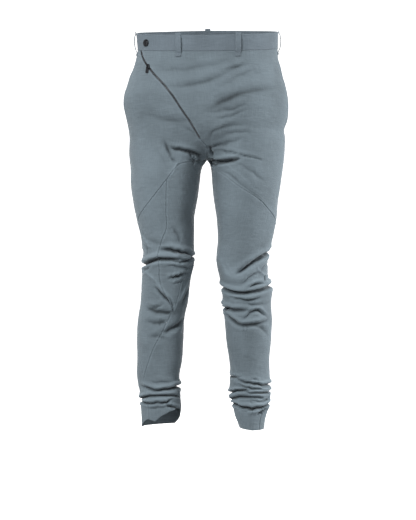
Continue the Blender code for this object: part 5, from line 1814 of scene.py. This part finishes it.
def build_pull():
    """The tab, two arms that leave an eye between them, and the round bar in the slider's arch."""
    tab, faces = plate(PULL_WIDE, PULL_HALF, PULL_LEVELS, power=3.2, taper=-0.05)
    forms = [(tab + (0.0, PULL_MIDDLE, 0.0), faces)]
    y = np.linspace(ARM_FROM, ARM_TO, 9)
    for side in (-1.0, 1.0):
        x = smooth(np.linspace(0, 1, len(y)), ARM["share"], side * ARM["x"])
        forms.append(bar(np.stack([x, y, 0 * y], axis=-1), 0.7, 0.6, ACROSS))
    x = np.linspace(-PIN_HALF, PIN_HALF, 7)
    forms.append(bar(np.stack([x, 0 * x, 0 * x], axis=-1), 0.5, 0.5, UPWARDS, power=2.0))
    points, faces = place_form(joined(*forms), hinge, SLIDER_AXES)
    dress(make_object("zip_pull_tab", points, faces, "metal", sharp=40), "zip_pull", body="pull")
    print("pull:", len(forms), "forms,", len(points), "points")


build_pull()

# %% [markdown]
# ## Waist stud
# A press stud is spun from sheet brass: a domed cap with a rolled rim, a groove, and a sunk middle with
# a small boss where the rivet was set. Its profile is turned about the axis that stands on the band, as
# it was made. A bump map would do for the groove but not for the rim, which shows from the side.

# %% Stud
STUD_X, STUD_DROP, STUD_AROUND = -141.0, 21.0, 56
STUD = table(
    "r z",
    (7.6, -0.4),
    (8.1, 0.2),
    (8.4, 0.7),
    (8.35, 1.25),
    (8.0, 1.75),
    (7.4, 2.2),
    (6.8, 2.5),
    (6.3, 2.62),
    (5.9, 2.5),
    (5.6, 2.45),
    (5.3, 2.6),
    (4.9, 2.75),
    (4.5, 2.7),
    (4.2, 2.35),
    (3.8, 2.05),
    (3.0, 1.95),
    (2.0, 1.95),
    (1.5, 2.1),
    (1.0, 2.3),
    (0.4, 2.36),
)


def build_stud():
    """The profile turned about the band's normal."""
    place = lookup(STUD_X, STUD_DROP)
    point, normal, _ = (v[0] for v in cloth(LEFT, place[1:2], place[2:3]))
    right = unit(np.cross((0.0, 0.0, 1.0), normal))
    flat = STUD["r"][:, None, None] * rounded(2.0, STUD_AROUND)
    rings = np.concatenate([flat, np.broadcast_to(STUD["z"][:, None, None], (*flat.shape[:2], 1))], axis=-1)
    axes = np.array([right, np.cross(normal, right), normal])
    points, faces = place_form(tube(rings), point + (BAND_PROUD + BAND_GAP) * normal, axes)
    dress(make_object("waist_stud", points, faces, "metal", sharp=50), "waist_button")
    print("stud:", 2 * STUD["r"].max(), "mm wide,", round(float(np.ptp(STUD["z"])), 2), "mm thick")


build_stud()

# %% [markdown]
# ## Stitches
# A lockstitch shows as short threads of even length that dip into the cloth at both ends. They run
# 2 mm from the seam edges, 5 mm from the zip and 9 mm up from the hems. As real threads they catch the
# light and stand over the cloth, which a pattern in the finish wouldn't do at this size.

# %% Stitch form and rows
STITCH_LENGTH, STITCH_PITCH, THREAD_RADIUS = 2.3, 2.9, 0.24
THREAD_AROUND = 5


def stitch(length=STITCH_LENGTH, radius=THREAD_RADIUS):
    """A thread along x whose ends are thinner and sink by the fourth power of the place along it."""
    t = np.array([-1, -0.7, 0, 0.7, 1])
    size = radius * np.array([0.5, 0.9, 1, 0.9, 0.5])
    wide, high = (size[:, None] * side for side in rounded(2.0, THREAD_AROUND).T)
    return tube(rings_along(t * length / 2, wide, high - (2.2 * radius * t**4)[:, None]))


def stitch_row(line, normals):
    """(places, axes) of the stitches along a line on the cloth."""
    index = spread(line, STITCH_PITCH)
    way = unit(along_line(np.gradient(line, axis=0), index))
    out = along_line(normals, index)
    out = unit(out - (out * way).sum(axis=1)[:, None] * way)
    return along_line(line, index) + 0.5 * THREAD_RADIUS * out, around_way(way, out)


def sew_stitches(name, lines):
    """One object for all the stitches of a few rows."""
    places, axes = (np.concatenate(part) for part in zip(*(stitch_row(*line) for line in lines)))
    made = make_object(name, *copies(stitch(), places, axes), "thread", sharp=180)
    dress(made, None)
    print(name, len(places), "stitches")


# %% [markdown]
# A row is named by the panel that carries it and by the column of its grid, counted from the near edge
# or, with a minus, from the far one. So every row follows its seam, and no place is measured twice.

# %% Rows of stitches
NEAR_EDGE, WIDE_EDGE = 4, 6
FAR_EDGE, FAR_WIDE_EDGE = -1 - NEAR_EDGE, -1 - WIDE_EDGE
UNDER_BAND = 44
ZIP_COLUMNS = [(fronts[LEFT], side) for side in (WIDE_EDGE, NEAR_EDGE)]
ZIP_COLUMNS += [(fronts[RIGHT], side) for side in (NEAR_EDGE, WIDE_EDGE)]
SEAM_ROWS = {
    "zip_stitches": [(*column, UNDER_BAND, ZIP_END) for column in ZIP_COLUMNS],
    "pocket_stitches": [
        (panel, column, UNDER_BAND, POCKET_END) for panel in fronts for column in (FAR_EDGE, FAR_WIDE_EDGE)
    ],
    "leg_seam_stitches": (
        (fronts[LEFT], NEAR_EDGE, CROTCH + 4, SLANT_END - 12),
        (fronts[RIGHT], NEAR_EDGE, CROTCH + 4, SLANT_END - 12),
        ("left_outer_knee", NEAR_EDGE, SEAM_B_START + 14, SEAM_C_END - 14),
        ("left_shin", NEAR_EDGE, SEAM_C_START + 14, SEAM_C_END),
        ("back_left", NEAR_EDGE, UNDER_BAND, HEM - 3),
        ("back_right", NEAR_EDGE, UNDER_BAND, HEM - 3),
        ("back_left", FAR_EDGE, UNDER_BAND, CROTCH - 6),
    ),
}


def edge_line(panel, column, top, bottom):
    """A row of stitches down one column of a sewn panel, between two drops."""
    outer, normals, rows = SEWN[panel]
    kept = (rows >= top) & (rows <= bottom)
    return outer[kept, column], normals[kept, column]


def level_line(panel, row):
    """A row of stitches along one row of a sewn panel."""
    outer, normals, _ = SEWN[panel]
    return outer[row], normals[row]


def hem_row(panel):
    """The row of a panel that lies where its hem's doubled layer ends."""
    return np.argmin(abs(SEWN[panel][2] - (HEM - HEM_DEPTH + 0.4)))


def loop_line(name, column):
    """A row of stitches down a belt loop, clear of its folded ends."""
    outer, normals, _ = SEWN[name]
    return outer[2:-2, column], normals[2:-2, column]


for name, rows in SEAM_ROWS.items():
    sew_stitches(name, [edge_line(*row) for row in rows])
hemmed = ("left_shin", "right_leg_front", "back_left", "back_right")
sew_stitches("hem_stitches", [level_line(panel, hem_row(panel)) for panel in hemmed])
bands = ("waistband_front", "waistband_back")
sew_stitches("band_stitches", [level_line(band, row) for band in bands for row in (NEAR_EDGE, FAR_EDGE)])
loop_sides = (LOOP_STITCH, -1 - LOOP_STITCH)
sew_stitches("loop_stitches", [loop_line(name, side) for name in LOOPS for side in loop_sides])

# %% [markdown]
# A bar tack is a dense block of thicker threads, side by side across a belt loop. It holds the loop at
# both ends, so it is the last thing that is sewn on.

# %% Bar tacks
TACK_THREADS, TACK_LENGTH, TACK_RADIUS, TACK_LIFT = 15, 2.0, 0.3, 0.12
TACK_DROPS = (LOOP_TOP + 6.5, LOOP_BOTTOM - 4.0)


def sew_tacks():
    """Fifteen short threads side by side across both ends of each loop."""
    places, axes = [], []
    for name in LOOPS:
        outer, normals, drops = SEWN[name]
        for height in TACK_DROPS:
            row = np.argmin(abs(drops - height))
            index = np.linspace(LOOP_STITCH - 1, len(LOOP_SIDES) - LOOP_STITCH, TACK_THREADS)
            out = unit(along_line(normals[row], index))
            down = unit(np.broadcast_to(outer[row + 1, 5] - outer[row, 5], out.shape))
            places.append(along_line(outer[row], index) + TACK_LIFT * out)
            axes.append(around_way(down, out))
    form = stitch(TACK_LENGTH, TACK_RADIUS)
    made = make_object("bar_tacks", *copies(form, np.concatenate(places), np.concatenate(axes)), "thread")
    dress(made, None)
    print("bar tacks:", len(places))


sew_tacks()

# %% [markdown]
# ## Stage, light and camera
# A studio backdrop is white paper, lit until it shows no shade. Here a round floor and a round wall
# stand about the garment, with a glow of their own, and the wall is seen by the camera alone, so it adds
# no light. Large soft lamps light the cloth: the strongest from the front left, others from both sides
# and behind that brighten its edges.

# %% Stage
FLOOR_Z = -1.08
FLOOR_RADII, FLOOR_HEIGHTS = (0.001, 0.6, 1.6, 3.0), (0, 0, 0, 0)
WALL_RADII, WALL_HEIGHTS = (2.99, 8.0, 10.5, 11.5, 11.5), (0, 0, 0.9, 3.0, 12.0)


def turned_sheet(name, radius, height, slot):
    """A sheet turned about Z through these radii and heights in metres, seen from inside."""
    turn = np.linspace(0, 2 * math.pi, 73)
    radius, turn = np.meshgrid(radius, turn, indexing="ij")
    height = np.broadcast_to(np.reshape(height, (-1, 1)) + FLOOR_Z, radius.shape)
    points = np.stack([radius * np.cos(turn), radius * np.sin(turn), height], axis=-1).reshape(-1, 3) / MM
    made = make_object(name, points, grid_faces(*radius.shape)[:, ::-1], slot)
    return made


def studio_material(name, glow):
    """Matt white paint with the faintest cloudiness and a white glow."""
    tree = Tree(name)
    cloud = noise(tree, own_place(tree), 1.2)
    return tree.set(
        Base_Color=tree.mix(cloud, (0.93, 0.93, 0.93), (0.97, 0.97, 0.97)),
        Roughness=0.9,
        Emission_Color=(1, 1, 1, 1),
        Emission_Strength=glow,
    )


FINISH["floor"] = studio_material("studio_floor_paint", 0.12)
FINISH["wall"] = studio_material("studio_wall_paint", 1.0)
floor = turned_sheet("studio_floor", FLOOR_RADII, FLOOR_HEIGHTS, "floor")
floor.visible_diffuse = False
wall = turned_sheet("studio_wall", WALL_RADII, WALL_HEIGHTS, "wall")
wall.visible_diffuse = wall.visible_glossy = wall.visible_transmission = wall.visible_shadow = False
print("the floor lies", -FLOOR_Z, "m below the waist")

# %% [markdown]
# The camera stands as far off as the seams and creases were read from, at the height of the thighs, so
# that both legs are seen without a slant. A long lens keeps the hips and the hems the same size.

# %% Light and camera
CAMERA = (0.00115, -VIEW_DISTANCE * MM, -VIEW_DROP * MM)
VIEW_HEIGHT, SENSOR = 1.196, 36.0
SURROUND = 0.34
LAMPS = {
    "key": ((-2.8, -3.6, 1.4), (0, 0, -0.5), (0.8, 0.8), 215),
    "side_left": ((-3.0, 1.6, 0.6), (0, 0, -0.45), (1.2, 2.2), 40),
    "side_right": ((3.1, 0.0, 0.3), (0, 0, -0.5), (0.9, 2.0), 150),
    "overhead": ((-0.6, -1.5, 2.6), (0, 0, -0.5), (1.2, 0.8), 34),
    "fill": ((1.5, -4.2, -0.8), (0, 0, -0.5), (1.2, 1.0), 34),
    "behind": ((0, 4.4, 0.4), (0, 0, -0.45), (5.0, 3.6), 210),
}


def add_lamp(name, place, target, size, power):
    """A rectangular area light that looks at its target, with -Z along the way and Y up."""
    data = bpy.data.lights.new(name, "AREA")
    data.shape = "RECTANGLE"
    data.size, data.size_y = size
    data.energy = power
    lamp = bpy.data.objects.new(name, data)
    scene.collection.objects.link(lamp)
    way = Vector(target) - Vector(place)
    lamp.location = place
    lamp.rotation_euler = way.to_track_quat("-Z", "Y").to_euler()


def add_world():
    """A white surround that also fills the shadows."""
    world = bpy.data.worlds.new("studio")
    scene.world = world
    world.use_nodes = True
    background = world.node_tree.nodes["Background"].inputs
    background["Color"].default_value = (1, 1, 1, 1)
    background["Strength"].default_value = SURROUND


def add_camera():
    """A level camera, whose lens is the distance times the sensor over the height that it sees."""
    data = bpy.data.cameras.new("front")
    data.sensor_width = SENSOR
    data.lens = SENSOR * abs(CAMERA[1]) / VIEW_HEIGHT
    data.clip_end = 60
    camera = bpy.data.objects.new("front", data)
    scene.collection.objects.link(camera)
    camera.location = CAMERA
    camera.rotation_euler = (math.pi / 2, 0, 0)
    scene.camera = camera


add_world()
for name, lamp in LAMPS.items():
    add_lamp(name, *lamp)
add_camera()
scene.view_settings.view_transform = "Standard"
print("lens, mm:", round(scene.camera.data.lens, 1), "lamps:", len(LAMPS))

# %% [markdown]
# ## Triangles
# The dressed trousers must stay as large as the frame that they dress. The triangles of all pieces are
# counted, and the heaviest piece is named.

# %% Triangles
heaviest = max(TRIANGLES, key=TRIANGLES.get)
print("triangles:", sum(TRIANGLES.values()), "heaviest piece:", heaviest, TRIANGLES[heaviest])
